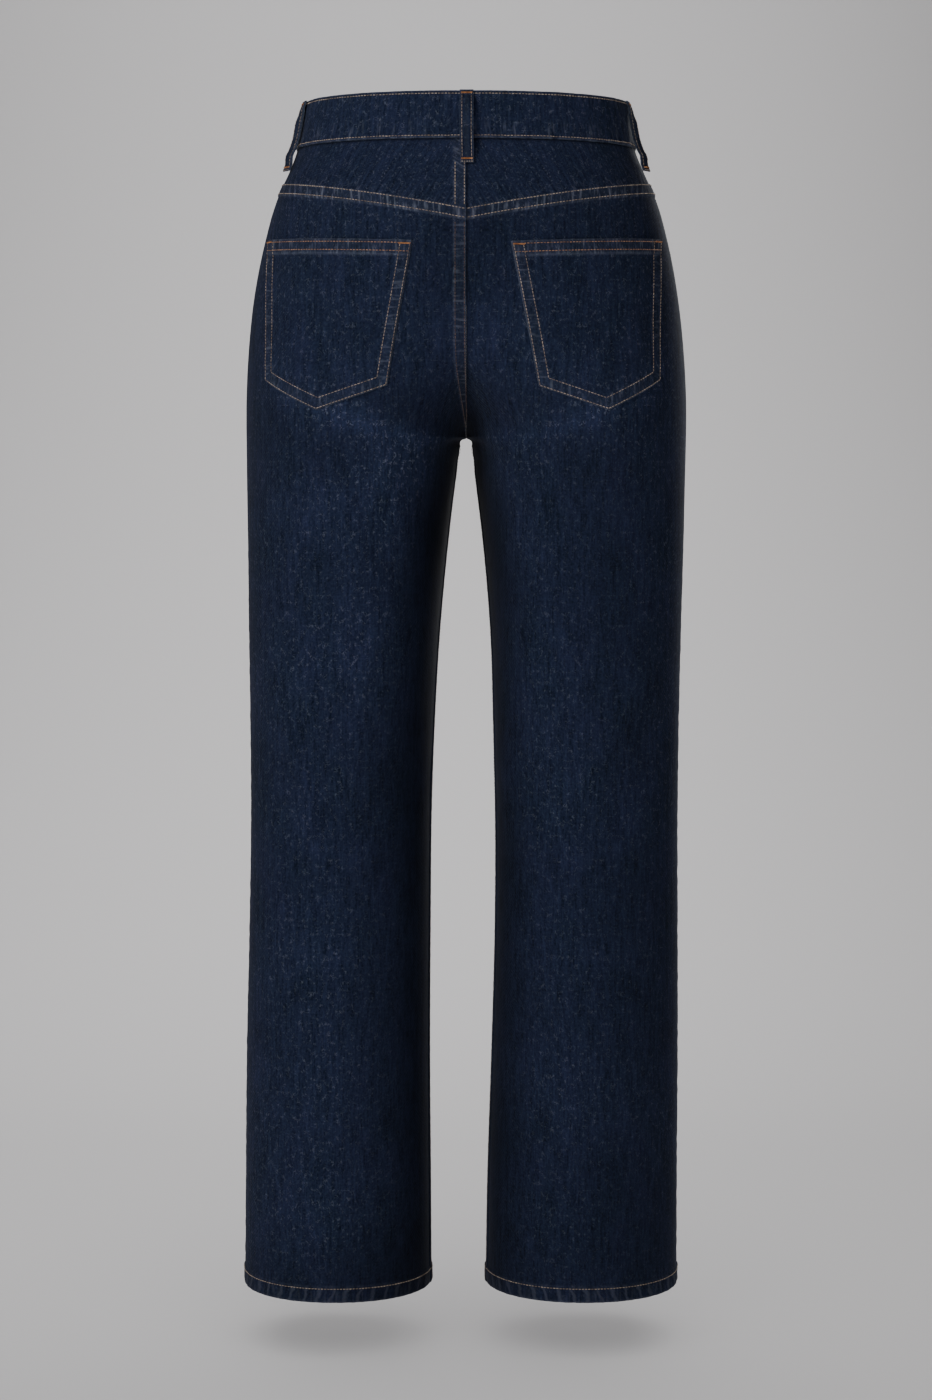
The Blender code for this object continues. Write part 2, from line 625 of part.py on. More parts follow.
def belt_loop(name, share):
    """A strap from the waistband's top edge, clear of the band for a belt, to a foot below the seam."""
    stops = [(z, clear, *ring_point(z, share)) for z, clear in LOOP_PATH]
    line = np.array([point + normal * clear for _, clear, point, normal in stops])
    outward = np.array([stops[0][3][0], stops[0][3][1], 0])
    aside = np.cross(outward / np.linalg.norm(outward), (0, 0, 1))
    across = np.linspace(-LOOP_WIDTH / 2, LOOP_WIDTH / 2, 3)
    points = line[:, None, :] + across[None, :, None] * aside
    normals = np.cross(np.gradient(line, axis=0), aside)
    normals /= np.linalg.norm(normals, axis=1, keepdims=True)
    normals *= np.sign(normals @ outward)[:, None]
    return wall(name, points, np.repeat(normals[:, None, :], 3, axis=1), LOOP_WALL, 0.0, denim)


def waist_button():
    """Turned metal button cap over the waistband at the centre front."""
    face, _ = ring_point(0.0, 1 - BUTTON_X / waist_ring(0.0)[2][-1])
    mesh = bpy.data.meshes.new("waist_button")
    edges = [(i, i + 1) for i in range(len(BUTTON_PROFILE) - 1)]
    mesh.from_pydata([(radius, 0, height) for radius, height in BUTTON_PROFILE], edges, [])
    mesh.materials.append(metal)
    button = bpy.data.objects.new("waist_button", mesh)
    garment.objects.link(button)
    turn = button.modifiers.new("turn", "SCREW")
    turn.steps = turn.render_steps = BUTTON_STEPS
    turn.use_merge_vertices = True
    turn.merge_threshold = MERGE
    turn.use_smooth_shade = True
    button.rotation_euler = (math.radians(90), 0, 0)
    button.location = (face[0], face[1] - BAND_PROUD - SEAM_GAP, 0)
    return button


def zip_strip():
    """Zip tape behind the fly, with its closed chain and the slider at the top raised in one piece."""
    top = WAIST_SEAM - 2 * SEAM_GAP
    slider = [top - SLIDER_TOP, top - SLIDER_TOP - SLIDER_LENGTH]
    step = ZIP_CHAIN_RISE / 2
    levels = [top, slider[0] + step, slider[0], slider[1], slider[1] - step]
    levels += list(np.linspace(slider[1] - step, ZIP_FOOT, ZIP_ROWS)[1:])
    points = np.zeros((len(levels), 6, 3))
    normals = np.zeros_like(points)
    rise = np.zeros(points.shape[:2])
    for r, z in enumerate(levels):
        on_slider = z in slider
        half = SLIDER_HALF if on_slider else ZIP_CHAIN_HALF
        rise[r, 2:4] = SLIDER_RISE if on_slider else ZIP_CHAIN_RISE
        bumps = [-half - step, -half, half, half + step]
        across = [-ZIP_TAPE, *(ZIP_MIDDLE + b for b in bumps), ZIP_TAPE]
        for c, x in enumerate(across):
            side = LEFT if x >= 0 else RIGHT
            section, _, along = half_cloth(side, FRONT, z)
            distance = float(np.interp(abs(x), section[:, 0], along))
            points[r, c], normals[r, c] = on_cloth(side, FRONT, z, distance)
    deep = 2 * (DENIM + SEAM_GAP)
    return wall("zip", points - normals * deep, normals, rise, ZIP_WALL, zip_tape)


for old in list(bpy.data.objects):
    bpy.data.objects.remove(old)
garment = bpy.data.collections.new("straight_leg_jeans")
bpy.context.scene.collection.children.link(garment)
denim = finish("denim", (0.012, 0.020, 0.045), 0.9)
metal = finish("button_metal", (0.30, 0.22, 0.14), 0.35, 1.0)
zip_tape = finish("zip_tape", (0.010, 0.014, 0.028), 0.85)

back_panel(LEFT, "back_left")
back_panel(RIGHT, "back_right")
yoke(LEFT, "yoke_left")
yoke(RIGHT, "yoke_right")
front_panel(LEFT, "front_left")
front_panel(RIGHT, "front_right")
pocket_facing(LEFT, "pocket_facing_left")
pocket_facing(RIGHT, "pocket_facing_right")
back_pocket(POCKETS[0], "back_pocket_left")
back_pocket(POCKETS[1], "back_pocket_right")
waistband()
waist_round = waist_ring(0.0)[2][-1]
side_share = 1 / 4 + LOOP_BEHIND_SIDE / waist_round
front_share = LOOP_FRONT / waist_round
belt_loop("belt_loop_back", 1 / 2)
belt_loop("belt_loop_side_right", side_share)
belt_loop("belt_loop_side_left", 1 - side_share)
belt_loop("belt_loop_front_right", front_share)
belt_loop("belt_loop_front_left", 1 - front_share)
waist_button()
zip_strip()
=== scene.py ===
"""High-rise straight-leg denim jeans in their worn form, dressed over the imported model.

The file follows the garment as it is sewn: back legs, yokes, front legs, pocket facings, back pockets,
waistband, belt loops, button, zip, then the studio. Metres, +Z up, the front faces -Y and the wearer's
left is +X.
"""

import json
import math
from collections import namedtuple

import bmesh
import bpy
import numpy as np
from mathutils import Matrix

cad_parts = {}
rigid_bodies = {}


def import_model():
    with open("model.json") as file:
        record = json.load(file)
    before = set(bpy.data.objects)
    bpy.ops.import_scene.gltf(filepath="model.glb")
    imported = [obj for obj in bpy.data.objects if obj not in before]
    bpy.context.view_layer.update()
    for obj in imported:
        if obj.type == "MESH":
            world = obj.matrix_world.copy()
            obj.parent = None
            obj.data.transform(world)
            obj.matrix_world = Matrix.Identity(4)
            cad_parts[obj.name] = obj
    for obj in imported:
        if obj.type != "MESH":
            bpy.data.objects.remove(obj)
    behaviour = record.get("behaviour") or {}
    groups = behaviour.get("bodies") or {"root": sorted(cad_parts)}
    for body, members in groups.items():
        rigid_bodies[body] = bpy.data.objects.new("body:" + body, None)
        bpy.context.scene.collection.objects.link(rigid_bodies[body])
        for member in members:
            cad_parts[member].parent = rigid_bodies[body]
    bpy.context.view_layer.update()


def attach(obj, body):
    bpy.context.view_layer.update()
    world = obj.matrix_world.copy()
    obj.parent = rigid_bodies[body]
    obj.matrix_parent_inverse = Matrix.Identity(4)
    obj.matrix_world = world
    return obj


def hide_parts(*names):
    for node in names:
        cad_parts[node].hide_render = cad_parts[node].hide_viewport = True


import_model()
bpy.ops.object.select_all(action="DESELECT")

# Camera
# It stands behind the garment at hip height and looks forward and a little down, as the photo does.
bpy.ops.object.camera_add(location=(0, 2.2, -0.2605), rotation=(math.radians(90 - 6.198), 0, math.pi))
camera = bpy.context.object
camera.name = "camera_back"
camera.data.lens = 63.93
camera.data.sensor_width = 36
bpy.context.scene.camera = camera

# Dark indigo denim
# Right-hand twill of indigo warp over white weft, washed once: dark blue with fine upright streaks,
# pale flecks of weft, paler cloth where seams and folded edges rub, and slanting ropes in the hem's turn.
HEM_LINE = -1.0150


def joined(tree, node, inputs):
    """The node, with each input set to a value or linked from another node's socket."""
    for label, value in inputs.items():
        if isinstance(value, bpy.types.NodeSocket):
            tree.links.new(value, node.inputs[label])
        else:
            node.inputs[label].default_value = value
    return node


def node_of(tree, kind, inputs, **settings):
    """A new node with these settings and inputs."""
    node = tree.nodes.new(kind)
    for label, value in settings.items():
        setattr(node, label, value)
    return joined(tree, node, inputs)


def combined(tree, operation, first, second):
    """One maths node over two sockets or numbers."""
    return node_of(tree, "ShaderNodeMath", {0: first, 1: second}, operation=operation).outputs[0]


def blended(tree, factor, first, second, blend="MIX"):
    """Two colours or colour sockets mixed."""
    colours = [c if isinstance(c, bpy.types.NodeSocket) else (*c, 1) for c in (first, second)]
    inputs = {"Factor": factor, "A": colours[0], "B": colours[1]}
    return node_of(tree, "ShaderNodeMix", inputs, data_type="RGBA", blend_type=blend).outputs["Result"]


def spread(tree, value, low, high, start=0, end=1):
    """A value's range from low to high stretched to run from start to end."""
    inputs = {"Value": value, "From Min": low, "From Max": high, "To Min": start, "To Max": end}
    return node_of(tree, "ShaderNodeMapRange", inputs).outputs["Result"]


def material_of(name):
    """A new material, with its node tree and its shader."""
    material = bpy.data.materials.new(name)
    material.use_nodes = True
    return material, material.node_tree, material.node_tree.nodes["Principled BSDF"]


def stretched_noise(tree, vector, scale, detail, low, high):
    """Noise stretched by a scale along each way of the cloth, with its contrast set, from 0 to 1."""
    place = node_of(tree, "ShaderNodeMapping", {"Scale": (*scale, 1), "Vector": vector})
    inputs = {"Scale": 1, "Detail": detail, "Roughness": 0.6, "Vector": place.outputs["Vector"]}
    return spread(tree, node_of(tree, "ShaderNodeTexNoise", inputs).outputs["Fac"], low, high)


PATCH_SCALE = 0.62


def broken_lines(tree, vector, scale, thin, low, high):
    """Short curved strokes, where a noise is near its middle value and a second noise is high."""
    line = stretched_noise(tree, vector, scale, 1, 0.0, 1.0)
    from_middle = combined(tree, "ABSOLUTE", combined(tree, "SUBTRACT", line, 0.5), 0)
    stroke = spread(tree, from_middle, 0, thin, 1, 0)
    patches = stretched_noise(tree, vector, (scale[0] * PATCH_SCALE, scale[1] * PATCH_SCALE), 1, low, high)
    return combined(tree, "MULTIPLY", stroke, patches)


weave = bpy.data.node_groups.new("denim_weave", "ShaderNodeTree")
weave.interface.new_socket("Vector", in_out="INPUT", socket_type="NodeSocketVector")
for label, value in (("Wear", 0.0), ("Wash_and_shade", 1.0), ("Gather", 0.0)):
    socket = weave.interface.new_socket(label, in_out="INPUT", socket_type="NodeSocketFloat")
    socket.default_value = value
for label in ("Tone", "Fleck", "Tint", "Height"):
    weave.interface.new_socket(label, in_out="OUTPUT", socket_type="NodeSocketFloat")
weave_in = weave.nodes.new("NodeGroupInput")
weave_out = weave.nodes.new("NodeGroupOutput")
cloth_place = weave_in.outputs["Vector"]

# The tone runs from dark to light blue: upright streaks, thicker slubs, fine grain and slow clouds
streak = stretched_noise(weave, cloth_place, (560, 70), 2, 0.34, 0.66)
slub = stretched_noise(weave, cloth_place, (230, 26), 2, 0.36, 0.66)
grain = stretched_noise(weave, cloth_place, (520, 430), 1, 0.34, 0.66)
cloud = stretched_noise(weave, cloth_place, (30, 13), 3, 0.30, 0.70)
tone = combined(weave, "MULTIPLY", streak, 0.28)
for part, share in ((slub, 0.24), (grain, 0.27), (cloud, 0.16)):
    tone = combined(weave, "ADD", tone, combined(weave, "MULTIPLY", part, share))

# The flecks are white weft: curved strokes and dots, more of them where the cloth is worn or its map of wash
# and painted light is pale, fewer in the painted shade
strokes = broken_lines(weave, cloth_place, (390, 300), 0.050, 0.50, 0.66)
dots = stretched_noise(weave, cloth_place, (760, 560), 1, 0.70, 0.80)
fleck = combined(weave, "MAXIMUM", strokes, dots)
wash_and_light_share = combined(weave, "MAXIMUM", combined(weave, "SUBTRACT", weave_in.outputs["Wash_and_shade"], 0.45), 0)
wash_and_light_share = combined(weave, "MULTIPLY", wash_and_light_share, 0.74)
amount = combined(weave, "ADD", wash_and_light_share, combined(weave, "MULTIPLY", weave_in.outputs["Wear"], 0.9))
fleck = combined(weave, "MULTIPLY", fleck, amount)

# A gathered seam is rubbed on its puckers: upright strokes over a level seam, level ones over an upright
upright = stretched_noise(weave, cloth_place, (320, 55), 1, 0.53, 0.73)
level = stretched_noise(weave, cloth_place, (55, 320), 1, 0.53, 0.73)
across = combined(weave, "MAXIMUM", weave_in.outputs["Gather"], 0)
down = combined(weave, "MAXIMUM", combined(weave, "MULTIPLY", weave_in.outputs["Gather"], -1), 0)
over_level = combined(weave, "MULTIPLY", upright, across)
over_upright = combined(weave, "MULTIPLY", level, down)
fleck = combined(weave, "MAXIMUM", fleck, combined(weave, "MAXIMUM", over_level, over_upright))

# The turned hem has slanting ropes
lean = node_of(weave, "ShaderNodeMapping", {"Rotation": (0, 0, math.radians(-16)), "Vector": cloth_place})
inputs = {"Scale": 27, "Distortion": 2.6, "Detail Scale": 3, "Vector": lean.outputs["Vector"]}
ropes = spread(weave, node_of(weave, "ShaderNodeTexWave", inputs).outputs["Fac"], 0.70, 1)
apart = node_of(weave, "ShaderNodeSeparateXYZ", {"Vector": cloth_place})
in_hem = spread(weave, apart.outputs["Y"], HEM_LINE, HEM_LINE - 0.0012)
roped = combined(weave, "MULTIPLY", combined(weave, "MULTIPLY", ropes, in_hem), 0.30)
inputs = {"Scale": 190, "Distortion": 1.5, "Detail": 1, "Vector": cloth_place}
twill = node_of(weave, "ShaderNodeTexWave", inputs, bands_direction="DIAGONAL")
height = combined(weave, "ADD", combined(weave, "MULTIPLY", grain, 0.6), twill.outputs["Fac"])
fleck = combined(weave, "MAXIMUM", fleck, roped)
joined(weave, weave_out, {"Tone": tone, "Fleck": fleck, "Tint": cloud, "Height": height})


def denim_material(name, dark, light, worn, inside):
    """Denim in its own two blues, a worn colour for rubbed edges, and a pale inside face."""
    material, tree, shader = material_of(name)
    place = node_of(tree, "ShaderNodeUVMap", {}, uv_map="cloth")
    wear, face, fade, gather = (
        node_of(tree, "ShaderNodeAttribute", {}, attribute_name=label)
        for label in ("wear", "inside", "fade", "gather")
    )
    inputs = {
        "Vector": place.outputs["UV"],
        "Wear": wear.outputs["Fac"],
        "Wash_and_shade": fade.outputs["Fac"],
        "Gather": gather.outputs["Fac"],
    }
    cloth = node_of(tree, "ShaderNodeGroup", inputs, node_tree=weave)
    layers = (
        ("MIX", cloth.outputs["Tone"], light),
        ("MIX", cloth.outputs["Fleck"], worn),
        ("MIX", wear.outputs["Fac"], worn),
        ("MULTIPLY", cloth.outputs["Tint"], (1.06, 0.93, 1.04)),
        ("MIX", face.outputs["Fac"], inside),
        # The fade attribute multiplies the colour: wash, and painted light and shade where a piece has them
        ("MULTIPLY", 1, fade.outputs["Color"]),
    )
    colour = dark
    for blend, share, above in layers:
        colour = blended(tree, share, colour, above, blend)
    inputs = {"Strength": 0.5, "Distance": 0.0003, "Height": cloth.outputs["Height"]}
    bump = node_of(tree, "ShaderNodeBump", inputs)
    finish = {"Roughness": 0.88, "Specular IOR Level": 0.08, "Sheen Weight": 0.02, "Sheen Roughness": 0.6}
    joined(tree, shader, {"Base Color": colour, "Normal": bump.outputs["Normal"], **finish})
    return material


denim = denim_material(
    "denim", (0.0012, 0.0028, 0.0085), (0.0215, 0.0340, 0.0760), (0.125, 0.150, 0.190), (0.070, 0.090, 0.130)
)

# Back legs
# Two denim legs from the yoke seam to the hem. The left one's centre and inseam edges are folded over
# and stitched down as a felled strip, its top edge laps the yoke, and the hem is turned up once.
WAIST_SEAM = -0.0195
CROTCH = -0.2675
FORK_DEPTH = 0.110
FORK_TOP = CROTCH + FORK_DEPTH
HEM = -1.0295
HEM_HEIGHT = 0.0145
SEAM_GAP = 0.0003
HALF_GAP = 0.00002
DENIM = 0.0015
FELL_RISE = 0.0009
FELL_WIDTH = 0.0100
FELL_STEP = 0.0012
FORK_BEND = 1.75
FORK_POWER = 1.6
CROTCH_GAP = 0.0062
CROTCH_FILLET = 0.0045
CROTCH_BLEND = 0.0120
YOKE_CENTRE = -0.0775
YOKE_SIDE = -0.0490
YOKE_SHAPE = 1.55
SAMPLES = 181
LIFT = 0.0005
FOLD_FADE = 1.6
LEFT, RIGHT = 1, -1
BACK, FRONT = 1, -1

# Level sections: half-widths at the side seams and inseams, depths in front and behind, and the
# superellipse's power
Section = namedtuple(
    "Section", "z left_outer left_inner right_inner right_outer front back side_y inseam_y square"
)
SECTIONS = [
    Section(0.0195, 0.1382, 0.0000, 0.0000, 0.1388, 0.0925, 0.0960, 0.000, -0.020, 2.25),
    Section(-0.0195, 0.1457, 0.0000, 0.0000, 0.1462, 0.0960, 0.1000, 0.000, -0.020, 2.25),
    Section(-0.0405, 0.1540, 0.0000, 0.0000, 0.1550, 0.0990, 0.1045, 0.000, -0.020, 2.25),
    Section(-0.0640, 0.1645, 0.0000, 0.0000, 0.1655, 0.1025, 0.1100, 0.000, -0.020, 2.28),
    Section(-0.1000, 0.1750, 0.0000, 0.0000, 0.1758, 0.1060, 0.1195, 0.000, -0.020, 2.32),
    Section(-0.1500, 0.1850, 0.0000, 0.0000, 0.1852, 0.1080, 0.1300, 0.000, -0.020, 2.36),
    Section(-0.2000, 0.1900, 0.0000, 0.0000, 0.1904, 0.1065, 0.1335, 0.000, -0.020, 2.36),
    Section(-0.2400, 0.1918, 0.0000, 0.0000, 0.1924, 0.1035, 0.1290, 0.000, -0.020, 2.32),
    Section(-0.2675, 0.1921, 0.0000, 0.0000, 0.1926, 0.1010, 0.1230, 0.000, -0.020, 2.28),
    Section(-0.2800, 0.1921, 0.0064, 0.0063, 0.1925, 0.0997, 0.1198, 0.000, -0.019, 2.27),
    Section(-0.3000, 0.1922, 0.0094, 0.0088, 0.1923, 0.0980, 0.1135, 0.000, -0.017, 2.24),
    Section(-0.3600, 0.1920, 0.0167, 0.0160, 0.1916, 0.0930, 0.1010, 0.000, -0.012, 2.22),
    Section(-0.4400, 0.1919, 0.0241, 0.0226, 0.1901, 0.0870, 0.0890, 0.000, -0.007, 2.20),
    Section(-0.5200, 0.1915, 0.0287, 0.0250, 0.1890, 0.0820, 0.0800, 0.000, -0.003, 2.18),
    Section(-0.6000, 0.1916, 0.0314, 0.0268, 0.1887, 0.0780, 0.0745, 0.000, 0.000, 2.18),
    Section(-0.7000, 0.1938, 0.0325, 0.0266, 0.1896, 0.0735, 0.0725, 0.001, 0.001, 2.16),
    Section(-0.8200, 0.1974, 0.0332, 0.0236, 0.1907, 0.0695, 0.0715, 0.001, 0.002, 2.14),
    Section(-0.9300, 0.1992, 0.0326, 0.0202, 0.1908, 0.0670, 0.0690, 0.002, 0.002, 2.12),
    Section(-1.0295, 0.2008, 0.0322, 0.0187, 0.1914, 0.0645, 0.0670, 0.002, 0.002, 2.10),
]

# Main creases, each a soft trough (depth below 0) or ridge along a straight run of the cloth
Fold = namedtuple("Fold", "side face x0 z0 x1 z1 width depth")
FOLDS = [
    Fold(LEFT, BACK, 0.098, -0.265, 0.068, -0.350, 0.020, -0.0030),
    Fold(LEFT, BACK, 0.122, -0.255, 0.090, -0.320, 0.018, 0.0016),
    Fold(LEFT, BACK, 0.064, -0.262, 0.038, -0.335, 0.018, -0.0024),
    Fold(LEFT, BACK, 0.140, -0.475, 0.110, -0.562, 0.018, 0.0022),
    Fold(LEFT, BACK, 0.062, -0.490, 0.106, -0.562, 0.018, 0.0022),
    Fold(LEFT, BACK, 0.104, -0.452, 0.102, -0.530, 0.030, -0.0020),
    Fold(LEFT, BACK, 0.105, -0.580, 0.052, -0.572, 0.026, -0.0045),
    Fold(RIGHT, BACK, 0.070, -0.258, 0.036, -0.312, 0.018, 0.0016),
    Fold(RIGHT, BACK, 0.084, -0.262, 0.046, -0.325, 0.020, -0.0026),
    Fold(RIGHT, BACK, 0.120, -0.268, 0.102, -0.350, 0.022, 0.0022),
    Fold(RIGHT, BACK, 0.152, -0.470, 0.116, -0.580, 0.018, 0.0024),
    Fold(RIGHT, BACK, 0.158, -0.520, 0.128, -0.590, 0.020, -0.0036),
    Fold(RIGHT, BACK, 0.060, -0.537, 0.100, -0.537, 0.012, -0.0024),
    Fold(RIGHT, BACK, 0.050, -0.585, 0.095, -0.592, 0.018, -0.0026),
    Fold(RIGHT, BACK, 0.030, -0.560, 0.062, -0.640, 0.018, 0.0020),
    Fold(LEFT, FRONT, 0.030, -0.225, 0.110, -0.180, 0.016, -0.0020),
    Fold(LEFT, FRONT, 0.040, -0.275, 0.120, -0.235, 0.018, -0.0022),
    Fold(LEFT, FRONT, 0.060, -0.585, 0.130, -0.560, 0.026, -0.0022),
    Fold(LEFT, FRONT, 0.090, -0.645, 0.150, -0.625, 0.026, -0.0018),
    Fold(RIGHT, FRONT, 0.030, -0.230, 0.105, -0.180, 0.016, -0.0020),
    Fold(RIGHT, FRONT, 0.045, -0.285, 0.115, -0.235, 0.018, -0.0022),
    Fold(RIGHT, FRONT, 0.060, -0.560, 0.125, -0.590, 0.026, -0.0022),
    Fold(RIGHT, FRONT, 0.080, -0.650, 0.145, -0.630, 0.026, -0.0018),
]

# Small creases that only the cloth has
CREASES = [
    Fold(LEFT, BACK, 0.020, -0.250, 0.060, -0.262, 0.008, -0.0010),
    Fold(LEFT, BACK, 0.030, -0.290, 0.055, -0.345, 0.008, 0.0009),
    Fold(LEFT, BACK, 0.098, -0.285, 0.060, -0.385, 0.012, -0.0018),
    Fold(LEFT, BACK, 0.152, -0.515, 0.128, -0.600, 0.010, 0.0019),
    Fold(LEFT, BACK, 0.144, -0.520, 0.118, -0.592, 0.010, -0.0016),
    Fold(LEFT, BACK, 0.062, -0.520, 0.088, -0.588, 0.010, 0.0016),
    Fold(LEFT, BACK, 0.118, -0.590, 0.066, -0.604, 0.011, -0.0018),
    Fold(LEFT, BACK, 0.066, -0.618, 0.108, -0.640, 0.012, 0.0014),
    Fold(RIGHT, BACK, 0.018, -0.248, 0.055, -0.268, 0.008, -0.0011),
    Fold(RIGHT, BACK, 0.065, -0.300, 0.040, -0.350, 0.008, 0.0010),
    Fold(RIGHT, BACK, 0.108, -0.285, 0.078, -0.375, 0.012, -0.0017),
    Fold(RIGHT, BACK, 0.060, -0.545, 0.100, -0.549, 0.007, 0.0015),
    Fold(RIGHT, BACK, 0.150, -0.505, 0.120, -0.575, 0.010, -0.0018),
    Fold(RIGHT, BACK, 0.158, -0.500, 0.132, -0.560, 0.009, 0.0014),
    Fold(RIGHT, BACK, 0.096, -0.602, 0.056, -0.618, 0.010, 0.0014),
    Fold(LEFT, FRONT, 0.022, -0.190, 0.075, -0.165, 0.009, -0.0012),
    Fold(LEFT, FRONT, 0.030, -0.255, 0.090, -0.215, 0.009, 0.0011),
    Fold(LEFT, FRONT, 0.050, -0.300, 0.090, -0.285, 0.010, -0.0009),
    Fold(LEFT, FRONT, 0.070, -0.610, 0.110, -0.600, 0.012, 0.0012),
    Fold(RIGHT, FRONT, 0.025, -0.195, 0.070, -0.168, 0.009, -0.0012),
    Fold(RIGHT, FRONT, 0.034, -0.262, 0.088, -0.222, 0.009, 0.0011),
    Fold(RIGHT, FRONT, 0.048, -0.312, 0.086, -0.300, 0.010, -0.0009),
    Fold(RIGHT, FRONT, 0.066, -0.585, 0.108, -0.598, 0.012, 0.0012),
]


def smooth_rows(z):
    """The table's values at each height, on smooth curves through its rows, as columns."""
    heights = np.array([s.z for s in SECTIONS])[::-1]
    values = np.array(SECTIONS)[::-1]
    slopes = np.gradient(values, heights, axis=0)
    z = np.clip(z, heights[0], heights[-1])
    i = np.clip(np.searchsorted(heights, z) - 1, 0, len(heights) - 2)
    span = (heights[i + 1] - heights[i])[:, None]
    t = (z - heights[i])[:, None] / span
    rows = (
        (2 * t**3 - 3 * t**2 + 1) * values[i]
        + (t**3 - 2 * t**2 + t) * span * slopes[i]
        + (3 * t**2 - 2 * t**3) * values[i + 1]
        + (t**3 - t**2) * span * slopes[i + 1]
    )
    return Section(*rows.T[..., None])


def half_section(side, face, z):
    """Points of one side's front or back half at each height, from its inner tip to the side seam, on +X."""
    row = smooth_rows(z)
    level = np.asarray(z)[:, None]
    outer = row.left_outer if side == LEFT else row.right_outer
    inner = row.left_inner if side == LEFT else row.right_inner
    share = (1 - np.clip((level - CROTCH) / FORK_DEPTH, 0, 1) ** FORK_BEND) ** FORK_POWER
    legs = level <= CROTCH
    half = np.where(legs, (outer - inner) / 2, outer / (1 + share))
    middle = np.where(legs, (outer + inner) / 2, share * half)
    down = np.clip((CROTCH - level) / CROTCH_FILLET, 0, 1)
    widen = np.where(legs, np.maximum(CROTCH_GAP * np.sqrt(1 - (1 - down) ** 2) - inner, 0), 0)
    angle = np.linspace(0, math.pi, SAMPLES)[None, :]
    power = 2 / row.square
    across = np.sign(np.cos(angle)) * np.abs(np.cos(angle)) ** power
    x = middle - half * across
    x = x + widen * np.exp(-(((x - x[:, :1]) / CROTCH_BLEND) ** 2))
    base = row.inseam_y + (row.side_y - row.inseam_y) * (1 - across) / 2
    reach = row.back if face == BACK else -row.front
    y = base + (reach - base) * np.abs(np.sin(angle)) ** power
    return np.stack([x, y, np.broadcast_to(level, x.shape)], axis=-1)


def fold_depth(side, face, x, z):
    """How far the folds and creases move the cloth out."""
    total = np.zeros_like(x)
    for fold in FOLDS + CREASES:
        if (fold.side, fold.face) != (side, face):
            continue
        length = math.hypot(fold.x1 - fold.x0, fold.z1 - fold.z0)
        way = ((fold.x1 - fold.x0) / length, (fold.z1 - fold.z0) / length)
        step = (x - fold.x0) * way[0] + (z - fold.z0) * way[1]
        aside = (x - fold.x0) * way[1] - (z - fold.z0) * way[0]
        past = np.maximum(np.abs(step - length / 2) - length / 2, 0)
        total += fold.depth * np.exp(-((aside / fold.width) ** 2) - (past / fold.width) ** 2)
    return total


def cloth_lines(side, face, z):
    """Points, normals and distance along the cloth of the half sections at each height, on +X."""
    points = half_section(side, face, z)
    normals = np.cross(
        np.gradient(points, axis=1), half_section(side, face, z + LIFT) - half_section(side, face, z - LIFT)
    )
    normals *= -face
    normals[:, [0, -1], 1] = 0
    normals /= np.maximum(np.linalg.norm(normals, axis=2, keepdims=True), 1e-12)
    fade = np.minimum(FOLD_FADE * np.sin(np.linspace(0, math.pi, SAMPLES)), 1)
    points = points + normals * (fade * fold_depth(side, face, points[..., 0], points[..., 2]))[..., None]
    steps = np.linalg.norm(np.diff(points, axis=1), axis=2)
    distance = np.concatenate([np.zeros((len(z), 1)), np.cumsum(steps, axis=1)], axis=1)
    return points, normals, distance


def find_on_cloth(side, face, z, at, by_x=False):
    """Points, normals and distances at each height, found by distance along the cloth or by x."""
    z, at = np.broadcast_arrays(z, at)
    shape = z.shape
    z, at = z.ravel().astype(float), at.ravel().astype(float)
    levels, which = np.unique(np.round(z, 6), return_inverse=True)
    found = np.zeros((len(z), 7))
    for start in range(0, len(levels), 200):
        points, normals, distance = cloth_lines(side, face, levels[start : start + 200])
        rows = np.flatnonzero((which >= start) & (which < start + 200))
        line = which[rows] - start
        values = np.concatenate([points, normals, distance[..., None]], axis=2)
        key = points[..., 0] if by_x else distance
        k = np.clip((key[line] < at[rows, None]).sum(axis=1), 1, SAMPLES - 1)
        low, high = key[line, k - 1], key[line, k]
        share = np.clip((at[rows] - low) / np.maximum(high - low, 1e-12), 0, 1)[:, None]
        found[rows] = values[line, k - 1] * (1 - share) + values[line, k] * share
    found[:, 3:6] /= np.linalg.norm(found[:, 3:6], axis=1, keepdims=True)
    found[:, [0, 3]] *= side
    found = found.reshape(*shape, 7)
    return found[..., :3], found[..., 3:6], found[..., 6]


FLY_LAP = 0.0100
FLY_STRAIGHT = -0.1340
FLY_TURN = -0.1395
FLY_TURN_SHARE = 0.65
FLY_FOOT = -0.1450
FLY_END = -0.1520
ZIP_EDGE = 0.0015


def panel_edges(side, face, z):
    """Distance along the cloth of a panel's inner edge and of its side seam, at each height."""
    z = np.asarray(z, float)
    edge_x = np.full(z.shape, HALF_GAP)
    if face == FRONT and side == LEFT:
        bend = [-FLY_LAP, -FLY_TURN_SHARE * FLY_LAP, HALF_GAP]
        edge_x = np.interp(-z, [-FLY_STRAIGHT, -FLY_TURN, -FLY_FOOT], bend)
    elif face == FRONT:
        edge_x = np.interp(-z, [-FLY_FOOT, -FLY_END], [ZIP_EDGE, HALF_GAP])
    first = find_on_cloth(side, face, z, edge_x, by_x=True)[2]
    first = np.where(z <= CROTCH + LIFT, HALF_GAP, np.maximum(first, HALF_GAP))
    last = find_on_cloth(side, face, z, 9.0)[2] - HALF_GAP
    return first, last


def panel_width(side, face, z):
    """Width of a leg panel's cloth at one height."""
    first, last = panel_edges(side, face, np.array([z]))
    return float(last[0] - first[0])


def ripple(run, seed, length):
    """Uneven puckers of about that length along a seam, from -1 to 1."""
    chance = np.random.default_rng(seed)
    waves = np.zeros_like(run)
    for share in (0.61, 0.83, 1.0, 1.29, 2.3):
        waves = waves + chance.uniform(0.5, 1) * np.sin(
            2 * math.pi * run / (length * share) + chance.uniform(0, 2 * math.pi)
        )
    return np.clip(waves / 2.4, -1, 1)


